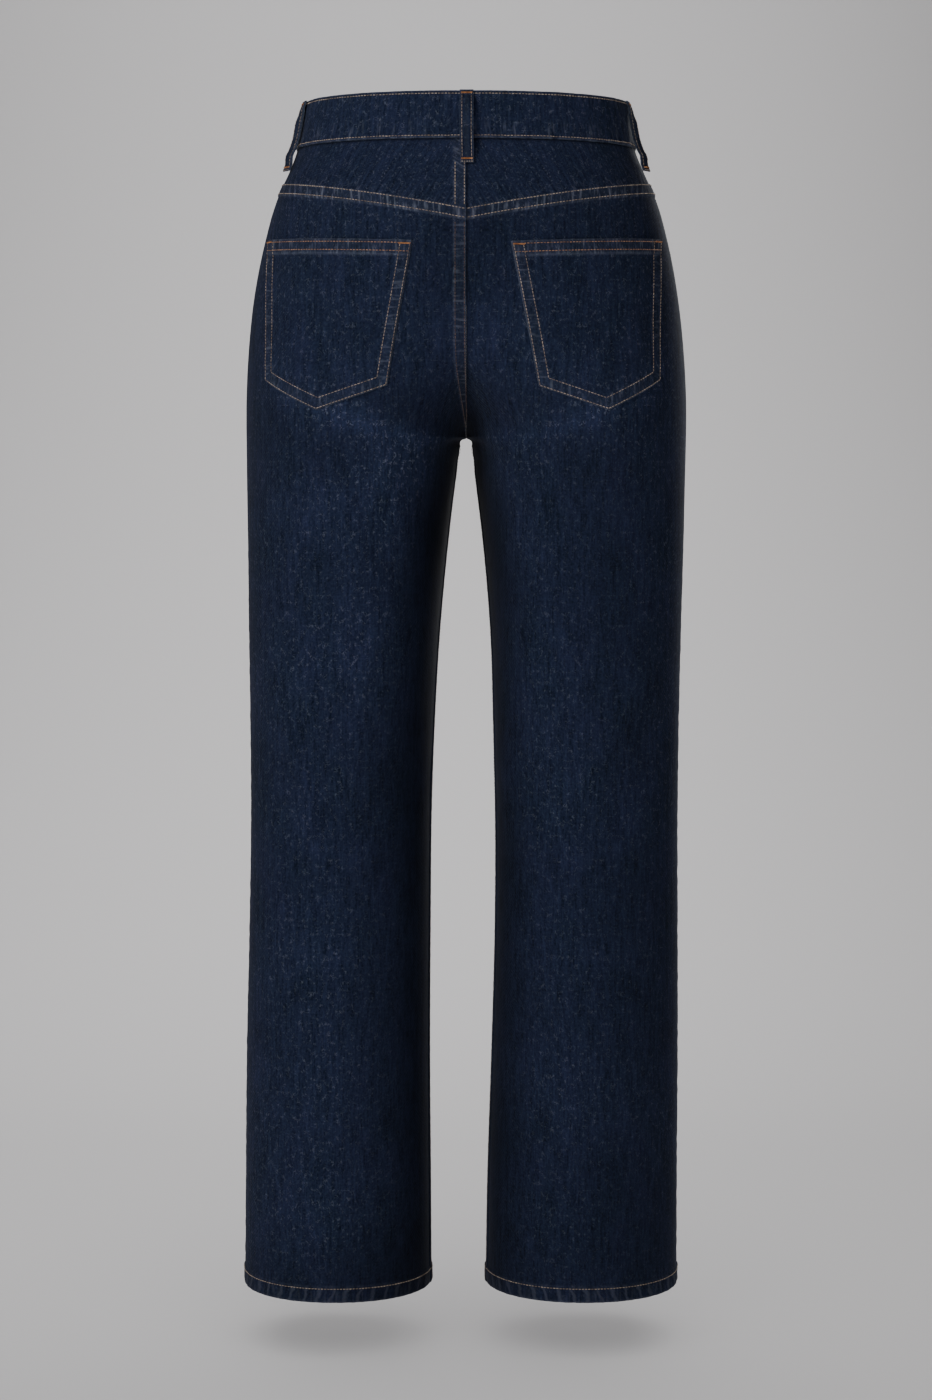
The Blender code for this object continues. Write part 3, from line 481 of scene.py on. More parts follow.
def fading(value, start, end):
    """1 up to start, 0 past end, and a smooth step between."""
    t = np.clip((value - start) / (end - start), 0, 1)
    return 1 - t * t * (3 - 2 * t)


def soft_line(distance, width):
    """1 on a line and fading smoothly to each side of it, by its half width."""
    return np.exp(-((distance / width) ** 2))


def look_of(wear, gather):
    """The wear, kept from 0 to 1, and the gathering, side by side."""
    return np.stack([np.clip(wear, 0, 1), gather], axis=-1)


def yoke_line(share):
    """Height of the yoke seam at a share of the way from the centre back to the side seam."""
    return YOKE_SIDE + (YOKE_CENTRE - YOKE_SIDE) * (1 - share) ** YOKE_SHAPE


def panel_relief(side, face, z, aside, width):
    """How far a leg panel stands out over its form, and its look: its wear, and how its seams gather it,
    above 0 where a seam runs across and below 0 where it runs down."""
    stands = np.zeros_like(z)
    wear = np.zeros_like(z)
    gather = np.zeros_like(z)
    seed = 10 * (side + 1) + face + 1
    if face == BACK:
        strip = (z <= 0) if side == LEFT else (z <= CROTCH - LIFT)
    else:
        strip = (z <= FLY_END + LIFT) & (z > CROTCH + LIFT) & (side == LEFT)
    # the felled strip and its puckers
    along_seam = fading(aside, FELL_WIDTH, FELL_WIDTH + FELL_STEP) * strip
    hip = np.where(z > CROTCH, 1.0, 0.35)
    pucker = ripple(z, seed, 0.0095) * hip
    near = fading(aside, 0.009, 0.020) * (face == BACK)
    stands += along_seam * FELL_RISE + near * pucker * 0.00028
    wear += along_seam * 0.05
    wear += 0.34 * soft_line(aside, 0.0009) * strip * (0.5 + 0.5 * pucker)
    wear += 0.20 * soft_line(aside - FELL_WIDTH, 0.0009) * strip * (0.5 + 0.5 * pucker)
    gather -= 0.55 * along_seam * hip
    # the yoke seam across the top, which laps the yoke
    if face == BACK:
        below = yoke_line(np.clip(aside / width, 0, 1)) - z
        top = fading(below, FELL_WIDTH, FELL_WIDTH + FELL_STEP) * (below > -0.001)
        crossing = ripple(aside, seed + 3, 0.0078)
        stands += np.maximum(top * FELL_RISE - along_seam * FELL_RISE, 0)
        stands += fading(below, 0.010, 0.019) * crossing * 0.00030
        wear += top * 0.05
        gather = np.where(top > 0.01, 0.85 * top, gather)
        wear += 0.30 * soft_line(below - 0.0006, 0.0008) * (0.6 + 0.4 * crossing)
        wear += 0.14 * soft_line(below - FELL_WIDTH, 0.0009)
    # the side seam's turnings, felt through the cloth
    out = width - aside
    side_pucker = ripple(z, seed + 5, 0.021)
    stands += 0.00055 * fading(out, 0.001, 0.0065) * (1 + 0.5 * side_pucker)
    wear += 0.16 * soft_line(out, 0.0012) * (0.5 + 0.5 * side_pucker)
    # the turned hem and its ropes
    up = z - HEM
    rope = ripple(aside + 0.45 * up, seed + 7, 0.0112)
    turned = fading(up, HEM_HEIGHT, HEM_HEIGHT + FELL_STEP)
    stands += turned * FELL_RISE * (1 - 0.25 * fading(up, 0.0, 0.0018))
    stands += fading(up, 0.004, 0.022) * rope * 0.00035
    gather = np.where(turned > 0.01, 0.20 * turned, gather)
    wear += 0.42 * soft_line(up, 0.0012) * (0.55 + 0.45 * rope)
    wear += 0.16 * soft_line(up - HEM_HEIGHT, 0.0010) * (0.55 + 0.45 * rope)
    return stands, look_of(wear, gather)


GRAIN_LINE = 0.110


def grain_map(side, face, z, aside):
    """Flat place of a leg panel's points: distance from its grain line, which hangs straight, and height."""
    grain = find_on_cloth(side, face, z, np.full_like(z, GRAIN_LINE), by_x=True)[2]
    return np.stack([aside + panel_edges(side, face, z)[0] - grain, z], axis=-1)


def panel_cloth(side, face, z, aside):
    """Points, normals and look of a leg panel at each height and distance aside from its inner edge."""
    first, last = panel_edges(side, face, z)
    points, normals, _ = find_on_cloth(side, face, z, first + aside)
    stands, look = panel_relief(side, face, z, aside, last - first)
    return points + normals * stands[..., None], normals, look


NEAR_EDGE = (0, 0.0010, 0.0030, 0.0055, 0.0080, 0.0094, 0.0101, 0.0108, 0.0114, 0.0135)
NEAR_SIDE = (0.0060, 0.0038, 0.0018, 0.0006, 0)


def columns_across(width, middle):
    """Distances aside of a panel's columns: close at the felled strip and the side, even between."""
    width = np.asarray(width)[..., None]
    start = np.broadcast_to(np.array(NEAR_EDGE), (*width.shape[:-1], len(NEAR_EDGE)))
    end = width - np.array(NEAR_SIDE)
    even = np.linspace(0, 1, middle + 2)[1:-1]
    between = start[..., -1:] + (end[..., :1] - start[..., -1:]) * even
    return np.concatenate([start, between, end], axis=-1)


def leg_heights(shares):
    """Rows of heights from the fork's top to the hem, slanted where the seat curve runs under."""
    ease = 1 - (1 - np.linspace(0, 1, 46)) ** 1.5
    drops = (0.0003, 0.0008, 0.0016, 0.0027, 0.0040, 0.0056, 0.0075)
    inner = np.concatenate([FORK_TOP - FORK_DEPTH * ease, CROTCH - np.array(drops)])
    outer = np.linspace(FORK_TOP, -0.2790, len(inner))
    level = np.minimum(shares / 0.35, 1)
    slanted = inner[:, None] + (outer - inner)[:, None] * level
    legs = np.linspace(-0.2820, HEM + 0.0185, 246)
    hem = HEM + np.array([0.0168, 0.0157, 0.0151, 0.0145, 0.0136, 0.0116, 0.0084, 0.0052, 0.0025, 0.0009, 0])
    level_rows = np.concatenate([legs, hem])
    return np.concatenate([slanted, np.repeat(level_rows[:, None], len(shares), axis=1)])


def linked(name, mesh):
    """A new object of this mesh in the scene."""
    piece = bpy.data.objects.new(name, mesh)
    bpy.context.scene.collection.objects.link(piece)
    return piece


def cloth_mesh(name, outer, inner, place, look, material, fade=1.0):
    """A closed cloth shell between matching grids of outer and inner points, with its own cloth map."""
    rows, columns = outer.shape[:2]
    count = rows * columns
    index = np.arange(count).reshape(rows, columns)
    quads = np.stack([index[:-1, :-1], index[:-1, 1:], index[1:, 1:], index[1:, :-1]], axis=-1).reshape(-1, 4)
    rim = np.concatenate([index[0, :], index[1:, -1], index[-1, -2::-1], index[-2:0:-1, 0]])
    after = np.roll(rim, -1)
    walls = np.stack([after, rim, rim + count, after + count], axis=-1)
    faces = np.concatenate([quads, quads[:, ::-1] + count, walls])
    mesh = bpy.data.meshes.new(name)
    points = np.concatenate([outer.reshape(-1, 3), inner.reshape(-1, 3)])
    mesh.from_pydata(points.tolist(), [], faces.tolist())
    middle = outer.shape[0] // 2, outer.shape[1] // 2
    across = outer[middle[0], middle[1] + 1] - outer[middle]
    down = outer[middle[0] + 1, middle[1]] - outer[middle]
    if np.dot(np.cross(across, down), outer[middle] - inner[middle]) < 0:
        mesh.flip_normals()
    corner = np.zeros(len(mesh.loops), np.int32)
    mesh.loops.foreach_get("vertex_index", corner)
    flat = np.tile(place.reshape(-1, 2), (2, 1))
    mesh.uv_layers.new(name="cloth").data.foreach_set("uv", flat[corner].astype(np.float32).ravel())
    # The fade is the colour scale: wash, with painted light and shade on the legs and yokes
    for label, values in (("wear", look[..., 0]), ("gather", look[..., 1]), ("fade", fade)):
        both = np.tile(np.broadcast_to(values, (rows, columns)).ravel(), 2)
        mesh.attributes.new(label, "FLOAT", "POINT").data.foreach_set("value", both.astype(np.float32))
    inside = mesh.attributes.new("inside", "FLOAT", "POINT")
    inside.data.foreach_set("value", np.repeat([0, 1], count).astype(np.float32))
    mesh.shade_smooth()
    mesh.set_sharp_from_angle(angle=math.radians(50))
    mesh.materials.append(material)
    piece = linked(name, mesh)
    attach(piece, "root")
    return piece


# How light the indigo is across a leg, by distance aside from the inseam: palest down its middle
# It is partly wash and partly painted light and shade, darkest at the inner side where the legs shade each
# other
WASH_AND_SHADE_ASIDE = (0.0, 0.030, 0.055, 0.078, 0.100, 0.125, 0.150, 0.180, 0.215, 0.250, 0.290)
WASH_AND_SHADE_TONES = {
    (LEFT, BACK): (0.66, 0.50, 0.54, 0.74, 0.90, 1.08, 1.08, 1.00, 0.93, 0.90, 0.92),
    (RIGHT, BACK): (0.62, 0.50, 0.68, 0.93, 1.02, 0.92, 0.86, 0.84, 0.95, 1.05, 1.05),
    (LEFT, FRONT): (0.62, 0.60, 0.74, 0.92, 1.00, 1.00, 0.90, 0.80, 0.76, 0.76, 0.76),
    (RIGHT, FRONT): (0.62, 0.60, 0.74, 0.92, 1.00, 1.00, 0.90, 0.80, 0.76, 0.76, 0.76),
}


def leg_wash_and_shade(side, face, z, aside):
    """How light a leg's cloth is: paler down its middle from wash and painted light, painted shade at the
    inner thigh and hem.
    """
    tone = np.interp(aside, WASH_AND_SHADE_ASIDE, WASH_AND_SHADE_TONES[side, face])
    tone = 1 + (tone - 1) * fading(z, -0.300, -0.200)
    if face == BACK:
        # Painted shade on the inner thigh below the seat, and a paler patch on the seat
        painted_thigh_shade = soft_line(z + 0.345, 0.085) * fading(aside, 0.060, 0.115)
        middle, reach = (0.145, 0.030) if side == LEFT else (0.148, 0.028)
        seat = soft_line(z + 0.245, 0.055) * soft_line(aside - middle, reach)
        tone = tone * (1 - 0.42 * painted_thigh_shade) * (1 + 0.45 * seat)
    patch = 1 + 0.10 * ripple(z + 0.25 * aside, 200 + side, 0.210) + 0.05 * ripple(aside, 201 + face, 0.11)
    # Painted shade in the groove of the centre back seam, on the right half beside the felled strip
    painted_seam_shade = 1 - 0.60 * soft_line(aside, 0.0018) * (side == RIGHT) * (z > CROTCH)
    # Painted shade darkening each leg towards the hem
    return tone * patch * painted_seam_shade * (0.76 + 0.24 * fading(-z, 0.90, 1.06))


def kept_on_side(points, side, below):
    """The points, with x kept in one side's half where the panel meets the other at the middle."""
    kept = side * np.maximum(side * points[..., 0], HALF_GAP)
    points[..., 0] = np.where(below | (points[..., 1] > 0), kept, points[..., 0])
    return points


def back_heights(side, columns_middle):
    """Heights and distances aside of a back leg's grid."""
    width = panel_width(side, BACK, YOKE_CENTRE)
    shares = columns_across(width, columns_middle) / width
    seam = yoke_line(shares) - SEAM_GAP
    drops = (0, 0.0007, 0.0024, 0.0050, 0.0078, 0.0093, 0.0101, 0.0107, 0.0113, 0.0130)
    top = np.array([seam - d for d in drops])
    leg = leg_heights(shares)
    steps = np.linspace(0, 1, 26)[1:-1, None]
    heights = np.concatenate([top, top[-1] + (leg[0] - top[-1]) * steps, leg])
    first, last = panel_edges(side, BACK, heights)
    aside = np.take_along_axis(
        columns_across(last - first, columns_middle), np.arange(len(shares))[None, :, None], axis=2
    )[..., 0]
    return heights, aside


BACK_MIDDLE = 80
for side, name in ((LEFT, "back_left"), (RIGHT, "back_right")):
    heights, aside = back_heights(side, BACK_MIDDLE)
    outer, normals, look = panel_cloth(side, BACK, heights, aside)
    inner = outer - normals * (DENIM + 0.0006)
    for layer in (outer, inner):
        kept_on_side(layer, side, heights <= FLY_END + LIFT)
    place = grain_map(side, BACK, heights, aside)
    leg = cloth_mesh(name + "_cloth", outer, inner, place, look, denim, leg_wash_and_shade(side, BACK, heights, aside))
    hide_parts(name)

# Topstitching
# Heavy cotton thread in lockstitch, about eight stitches to 25 mm: each stitch is a short plump bead of
# thread whose two ends dive into the cloth. Seams are sewn in rust or tan thread.
def thread_material(name, dark, pale):
    """Twisted thread whose shade changes from stitch to stitch between two colours."""
    material, tree, shader = material_of(name)
    place = tree.nodes.new("ShaderNodeTexCoord")
    inputs = {"Scale": 190, "Detail": 2, "Vector": place.outputs["Object"]}
    shade = spread(tree, node_of(tree, "ShaderNodeTexNoise", inputs).outputs["Fac"], 0.35, 0.65)
    colour = blended(tree, shade, dark, pale)
    joined(tree, shader, {"Base Color": colour, "Roughness": 0.62, "Specular IOR Level": 0.3})
    return material


tan_thread = thread_material("tan_thread", (0.170, 0.125, 0.095), (0.520, 0.420, 0.330))
rust_thread = thread_material("rust_thread", (0.200, 0.100, 0.055), (0.520, 0.290, 0.170))
dull_thread = thread_material("dull_thread", (0.050, 0.032, 0.030), (0.150, 0.100, 0.085))
tack_thread = thread_material("tack_thread", (0.270, 0.100, 0.032), (0.520, 0.240, 0.095))

STITCH_PITCH = 0.0028
STITCH_LENGTH = 0.0021
STITCH_SHAPE = ((0.0, 0.55, -0.7), (0.14, 0.95, 0.35), (0.5, 1.0, 0.6), (0.86, 0.95, 0.35), (1.0, 0.55, -0.7))
STITCH_SIDES = 6
STITCH_FLATNESS = 0.85
LEG_LIFT = 0.00015
FELL_ROWS = (0.0013, 0.0090)
YOKE_SEAM_ROWS = (0.0014, 0.0088)
INSEAM_ROW = 0.0085
HEM_ROW = 0.0128


def stitches_along(points, normals, lift=0.00012, radius=0.00036, pitch=STITCH_PITCH, length=STITCH_LENGTH):
    """Starts, ends and normals of the stitches of a row over a line of points, lifted off the cloth."""
    points = points + normals * lift
    run = np.concatenate([[0], np.cumsum(np.linalg.norm(np.diff(points, axis=0), axis=1))])
    count = max(int(run[-1] / pitch), 1)
    starts = np.arange(count) * run[-1] / count + (pitch - length) / 2
    ends = starts + length
    placed = []
    for spots, values in ((starts, points), (ends, points), ((starts + ends) / 2, normals)):
        placed.append(np.stack([np.interp(spots, run, values[:, axis]) for axis in range(3)], axis=1))
    return (*placed, np.full(count, radius))


def sewn(name, rows, material):
    """One mesh of all the stitches in these rows."""
    starts, ends, normals, radii = (np.concatenate(part) for part in zip(*rows))
    ways = ends - starts
    normals = normals / np.linalg.norm(normals, axis=1, keepdims=True)
    asides = np.cross(ways, normals)
    asides /= np.linalg.norm(asides, axis=1, keepdims=True)
    turns = np.arange(STITCH_SIDES) * 2 * math.pi / STITCH_SIDES
    rings = []
    for share, fat, rise in STITCH_SHAPE:
        centre = starts + ways * share + normals * (radii * rise)[:, None]
        flat = np.cos(turns)[None, :, None] * asides[:, None]
        tall = STITCH_FLATNESS * np.sin(turns)[None, :, None] * normals[:, None]
        rings.append(centre[:, None] + (radii * fat)[:, None, None] * (flat + tall))
    points = np.stack(rings, axis=1).reshape(-1, 3)
    one = np.arange(len(STITCH_SHAPE) * STITCH_SIDES).reshape(len(STITCH_SHAPE), STITCH_SIDES)
    nexts = np.roll(one, -1, axis=1)
    sides = np.stack([one[:-1], nexts[:-1], nexts[1:], one[1:]], axis=-1).reshape(-1, 4).tolist()
    cluster = sides + [one[0][::-1].tolist(), one[-1].tolist()]
    faces = [[i + stitch * one.size for i in face] for stitch in range(len(starts)) for face in cluster]
    mesh = bpy.data.meshes.new(name)
    mesh.from_pydata(points.tolist(), [], faces)
    shape = bmesh.new()
    shape.from_mesh(mesh)
    bmesh.ops.recalc_face_normals(shape, faces=shape.faces)
    shape.to_mesh(mesh)
    shape.free()
    mesh.shade_smooth()
    mesh.materials.append(material)
    row = linked(name, mesh)
    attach(row, "root")
    return row


def panel_row(side, face, z, aside, **stitch):
    """A row of stitches over a leg panel through these heights and distances aside."""
    z, aside = np.broadcast_arrays(np.asarray(z, float), np.asarray(aside, float))
    points, normals, _ = panel_cloth(side, face, z, aside)
    return stitches_along(points, normals, LEG_LIFT, **stitch)


def strip_row_heights(side, below, samples=90):
    """Heights and distances aside of a row that runs along the yoke seam, this far below it."""
    shares = np.linspace(0.004, 0.996, samples)
    z = yoke_line(shares) - below
    first, last = panel_edges(side, BACK, z)
    return z, shares * (last - first)


for side, label in ((LEFT, "left"), (RIGHT, "right")):
    down = np.linspace(CROTCH - 0.006, HEM + 0.002, 400)
    sewn("inseam_stitching_" + label, [panel_row(side, BACK, down, INSEAM_ROW, radius=0.00028)], dull_thread)
    yoke_rows = [panel_row(side, BACK, *strip_row_heights(side, below)) for below in YOKE_SEAM_ROWS]
    sewn("yoke_stitching_" + label, yoke_rows, tan_thread)
    around = []
    for face in (BACK, FRONT):
        aside = np.linspace(0.001, panel_width(side, face, HEM + 0.0105) - 0.001, 120)
        around.append(panel_row(side, face, HEM + HEM_ROW, aside))
    sewn("hem_stitching_" + label, around, tan_thread)
seat = np.linspace(YOKE_CENTRE - 0.012, CROTCH + 0.010, 160)
sewn("seat_stitching", [panel_row(LEFT, BACK, seat, aside) for aside in FELL_ROWS], dull_thread)

# Back yokes
# The yoke's two halves fill the V between the waistband and the back legs. They are cut on the cross,
# and the left half's centre edge is felled over the right's.
YOKE_ROWS = 26
for side, name in ((LEFT, "yoke_left"), (RIGHT, "yoke_right")):
    width = panel_width(side, BACK, YOKE_CENTRE)
    shares = columns_across(width, BACK_MIDDLE) / width
    top = WAIST_SEAM - SEAM_GAP
    foot = yoke_line(shares) - 0.0002
    steps = np.concatenate([[0, 0.015, 0.03, 0.05, 0.075, 0.105], np.linspace(0.14, 1, YOKE_ROWS)])
    heights = top + (foot - top) * steps[:, None]
    first, last = panel_edges(side, BACK, heights)
    aside = shares * (last - first)
    points, normals, _ = find_on_cloth(side, BACK, heights, first + aside)
    strip = fading(aside, FELL_WIDTH, FELL_WIDTH + FELL_STEP) * (side == LEFT)
    pucker = ripple(heights, 40 + side, 0.0085)
    above = heights - yoke_line(shares)
    gathers = ripple(aside, 50 + side, 0.0080) * fading(above, 0.001, 0.013)
    dips = ripple(aside, 60 + side, 0.0130) * fading(top - heights, 0.001, 0.012)
    stands = strip * FELL_RISE + pucker * 0.00025 * fading(aside, 0.009, 0.018)
    stands = stands + gathers * 0.00030 + dips * 0.00025
    wear = strip * 0.05 + 0.30 * soft_line(aside, 0.0009) * (side == LEFT) * (0.5 + 0.5 * pucker)
    gather = np.where(strip > 0.01, -0.55 * strip, 0.30 * fading(above, 0.0015, 0.007))
    # Painted shadow under the waistband's lower edge and painted shade in the centre back seam's groove on
    # the right half; elsewhere the yoke is a little paler
    painted_shade = 1.08 - 0.65 * soft_line(top - heights, 0.0016)
    painted_shade = painted_shade * (1 - 0.60 * soft_line(aside, 0.0018) * (side == RIGHT))
    outer = kept_on_side(points + normals * stands[..., None], side, False)
    inner = kept_on_side(points - normals * DENIM, side, False)
    place = np.stack([aside + 0.6 * heights, heights - 0.6 * aside], axis=-1)
    look = look_of(wear, gather)
    yoke = cloth_mesh(name + "_cloth", outer, inner, place, look, denim, painted_shade)
    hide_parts(name)
rows = []
for inset in FELL_ROWS:
    z = np.linspace(WAIST_SEAM - 0.020, YOKE_CENTRE + 0.002, 60)
    first = panel_edges(LEFT, BACK, z)[0]
    points, normals, _ = find_on_cloth(LEFT, BACK, z, first + inset)
    rows.append(stitches_along(points, normals, FELL_RISE + LEG_LIFT))
sewn("yoke_centre_stitching", rows, tan_thread)

# Front legs
# Two denim legs from the waistband to the hem, each cut away in a scoop for the front pocket. The left
# one laps over the right at the fly, which is sewn with a J of two rows and closed by bar tacks.
SCOOP_TOP = 0.074
SCOOP_DROP = -0.108
SCOOP_SHAPE = 2.1
FRONT_MIDDLE = 72
SCOOP_ROWS = (0.0016, 0.0080)
FLY_ROWS = (0.0, 0.0064)
FRONT_SEAM_ROWS = (0.0016, 0.0086)


def scoop_aside(side, z, width):
    """Distance aside at which the pocket scoop cuts the front, or the side seam below it."""
    top = find_on_cloth(side, FRONT, np.array([WAIST_SEAM]), SCOOP_TOP, by_x=True)[2]
    top = float(top[0] - panel_edges(side, FRONT, np.array([WAIST_SEAM]))[0][0])
    down = np.clip((WAIST_SEAM - z) / (WAIST_SEAM - SCOOP_DROP), 0, 1)
    return top + (width - top) * (1 - (1 - down**SCOOP_SHAPE) ** (1 / SCOOP_SHAPE))


def front_cloth(side, z, aside, scoop):
    """Points, normals and look of a front leg, with its scoop's folded edge and its tuck under the fly."""
    points, normals, look = panel_cloth(side, FRONT, z, aside)
    wear, gather = look[..., 0], look[..., 1]
    near = (scoop - aside) + 9 * (z < SCOOP_DROP)
    pucker = ripple(z * 0.7 + aside, 70 + side, 0.0090)
    folded = fading(near, 0.0085, 0.0100)
    stands = folded * 0.0005 + fading(near, 0.008, 0.016) * pucker * 0.00025
    wear = wear + folded * 0.05 + 0.30 * soft_line(near, 0.0010)
    gather = np.where(folded > 0.01, -0.5 * folded, gather)
    if side == RIGHT:
        stands = stands - (DENIM + SEAM_GAP) * fading(aside, 0.0114, 0.0300) * fading(-z, -FLY_FOOT, -FLY_END)
    else:
        fly = fading(aside, 0.0008, 0.0018) * (z > FLY_FOOT)
        wear = wear + 0.30 * fly
        dips = ripple(z, 90, 0.0100) * fading(aside, 0.030, 0.050) * (z > FLY_FOOT)
        stands = stands + 0.00025 * dips
    under = WAIST_SEAM - z
    stands = stands + ripple(aside, 75 + side, 0.0120) * 0.00025 * fading(under, 0.001, 0.012)
    return points + normals * stands[..., None], normals, look_of(wear, gather)


for side, name in ((LEFT, "front_left"), (RIGHT, "front_right")):
    width = panel_width(side, FRONT, FLY_END)
    shares = columns_across(width, FRONT_MIDDLE) / width
    scoop_rows = SCOOP_DROP + 0.020 * (1 - np.linspace(0, 1, 18)) ** 2
    hip = np.concatenate(
        [np.linspace(WAIST_SEAM - SEAM_GAP, -0.090, 25), scoop_rows, np.linspace(-0.1105, -0.1545, 17)]
    )
    heights = np.concatenate([np.repeat(hip[:, None], len(shares), axis=1), leg_heights(shares)])
    first, last = panel_edges(side, FRONT, heights)
    scoop = scoop_aside(side, heights, last - first)
    aside = np.take_along_axis(
        columns_across(scoop, FRONT_MIDDLE), np.arange(len(shares))[None, :, None], axis=2
    )[..., 0]
    outer, normals, look = front_cloth(side, heights, aside, scoop)
    inner = outer - normals * (DENIM + 0.0004)
    for layer in (outer, inner):
        kept_on_side(layer, side, heights <= FLY_END + LIFT)
    place = grain_map(side, FRONT, heights, aside)
    leg = cloth_mesh(name + "_cloth", outer, inner, place, look, denim, leg_wash_and_shade(side, FRONT, heights, aside))
    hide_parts(name)


def front_row(side, z, aside, **stitch):
    """A row of stitches over a front leg."""
    z, aside = np.broadcast_arrays(np.asarray(z, float), np.asarray(aside, float))
    first, last = panel_edges(side, FRONT, z)
    points, normals, _ = front_cloth(side, z, aside, scoop_aside(side, z, last - first))
    return stitches_along(points, normals, LEG_LIFT, **stitch)


for side, label in ((LEFT, "left"), (RIGHT, "right")):
    rows = []
    for inset in SCOOP_ROWS:
        z = WAIST_SEAM - 0.001 - (WAIST_SEAM - SCOOP_DROP - 0.002) * np.linspace(0, 1, 400) ** 0.5
        first, last = panel_edges(side, FRONT, z)
        edge = scoop_aside(side, z, last - first)
        slope = np.gradient(edge, -z)
        length = np.hypot(slope, 1)
        row_z = z - inset * slope / length
        row_aside = edge - inset / length
        keep = row_aside < (last - first) - 0.002
        rows.append(front_row(side, row_z[keep], row_aside[keep]))
    sewn("scoop_stitching_" + label, rows, tan_thread)
J_ASIDE = 0.038
rows = [front_row(LEFT, np.linspace(WAIST_SEAM - 0.001, FLY_STRAIGHT, 120), 0.0016)]
for inset in FLY_ROWS:
    turn = np.linspace(0, math.pi / 2, 40)
    reach = J_ASIDE - inset - 0.010
    bend_z = -0.118 - (0.026 - inset * 0.4) * np.sin(turn)
    bend_aside = 0.010 + reach * np.cos(turn) ** 0.9
    z = np.concatenate([np.linspace(WAIST_SEAM - 0.001, -0.1175, 100), bend_z])
    aside = np.concatenate([np.full(100, J_ASIDE - inset), bend_aside])
    rows.append(front_row(LEFT, z, aside))
sewn("fly_stitching", rows, tan_thread)
crotch_seam = np.linspace(FLY_END - 0.002, CROTCH + 0.004, 100)
rows = [front_row(LEFT, crotch_seam, aside) for aside in FRONT_SEAM_ROWS]
sewn("front_seam_stitching", rows, tan_thread)


TACK_RADIUS = 0.00030
TACK_PITCH = 0.00048


def bar_tack(centre, way, normal, length, width=0.0018):
    """Close stitches across a short bar, which hold the end of a seam."""
    way = np.asarray(way) / np.linalg.norm(way)
    aside = np.cross(normal, way)
    count = max(int(length / TACK_PITCH), 3)
    steps = np.linspace(-length / 2, length / 2, count)[:, None] * way
    lean = way * 0.0002
    middle = np.asarray(centre) + np.asarray(normal) * 0.00045 + steps
    half = aside * width / 2
    normals = np.repeat(np.array([normal]), count, axis=0)
    return middle - half - lean, middle + half + lean, normals, np.full(count, TACK_RADIUS)


rows = []
for z, aside, turned in ((-0.1405, 0.0135, 0), (-0.108, J_ASIDE - 0.0032, 1)):
    down = np.array([z, z - 0.004, z])
    across = np.array([aside, aside, aside + 0.004])
    points, normals, _ = front_cloth(LEFT, down, across, np.full(3, 0.2))
    rows.append(bar_tack(points[0], points[2 - turned] - points[0], normals[0], 0.0085))
sewn("fly_tacks", rows, tack_thread)

# Front pocket facings
# Denim patches sewn inside each scoop, in line with the side seam, so that cloth shows in the pocket
# mouth. They hang behind the front leg and are caught in the waistband and the side seam.
FACING_WALL = 0.0010
FACING_FOOT = -0.1340
FACING_UNDER = 0.024
FACING_DEEP = DENIM + SEAM_GAP + 0.0002
for side, name in ((LEFT, "pocket_facing_left"), (RIGHT, "pocket_facing_right")):
    heights = np.repeat(np.linspace(WAIST_SEAM - SEAM_GAP, FACING_FOOT, 44)[:, None], 34, axis=1)
    first, last = panel_edges(side, FRONT, heights)
    scoop = scoop_aside(side, heights, last - first)
    start = np.maximum(scoop - FACING_UNDER, 0)
    aside = start + (last - first - start) * np.linspace(0, 1, 34)
    points, normals, _ = find_on_cloth(side, FRONT, heights, first + aside)
    showing = aside - scoop
    slack = np.sin(math.pi * np.clip(showing / 0.06, 0, 1)) * 0.0006 * ripple(heights, 80 + side, 0.040)
    rise = 0.0009 * fading(last - first - aside, 0.0, 0.004)
    outer = points - normals * (FACING_DEEP - slack - rise)[..., None]
    inner = outer - normals * FACING_WALL
    place = np.stack([aside, heights], axis=-1)
    wear = 0.16 * soft_line(last - first - aside, 0.0015)
    facing = cloth_mesh(name + "_cloth", outer, inner, place, np.stack([wear, 0 * wear], axis=-1), denim)
    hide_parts(name)

# Back pockets
# Patch pockets with a pointed foot, one layer of denim with its sides turned under, its top hemmed by
# two rows of rust thread, and sewn on by two rows all round.
Pocket = namedtuple("Pocket", "side top_in top_out foot_in foot_out tip")
POCKETS = [
    Pocket(LEFT, (0.044, -0.1050), (0.167, -0.0996), (0.065, -0.2238), (0.168, -0.2197), (0.124, -0.244)),
    Pocket(RIGHT, (0.037, -0.1058), (0.164, -0.0996), (0.060, -0.2244), (0.162, -0.2197), (0.118, -0.244)),
]
POCKET_WALL = 0.0013
POCKET_HEM = 0.0122
TURNED = 0.0108
POCKET_HEM_ROWS = (0.0026, 0.0094)
POCKET_EDGE_ROWS = (0.0015, 0.0096)
POCKET_CROWN = 0.0010
POCKET_MARKS = np.array([0, 0.0004, 0.0010, 0.0022, 0.0045, 0.0070, 0.0094, 0.0104, 0.0110, 0.0120, 0.0140])
POCKET_TOP = np.array([0, 0.0004, 0.0010, 0.0026, 0.0055, 0.0088, 0.0112, 0.0120, 0.0127, 0.0140])


def line_distance(a, z, start, end):
    """Distance of flat points from a straight line between two corners."""
    way = np.array([end[0] - start[0], end[1] - start[1]])
    way /= np.linalg.norm(way)
    return np.abs((a - start[0]) * way[1] - (z - start[1]) * way[0])


def pocket_start(pocket, z):
    """Distance aside on the back leg of the pocket's inner side, which is straight as seen from behind."""
    (x_top, z_top), (x_foot, z_foot) = pocket.top_in, pocket.foot_in
    x = x_top + (x_foot - x_top) * (z - z_top) / (z_foot - z_top)
    return find_on_cloth(pocket.side, BACK, z, x, by_x=True)[2] - panel_edges(pocket.side, BACK, z)[0]


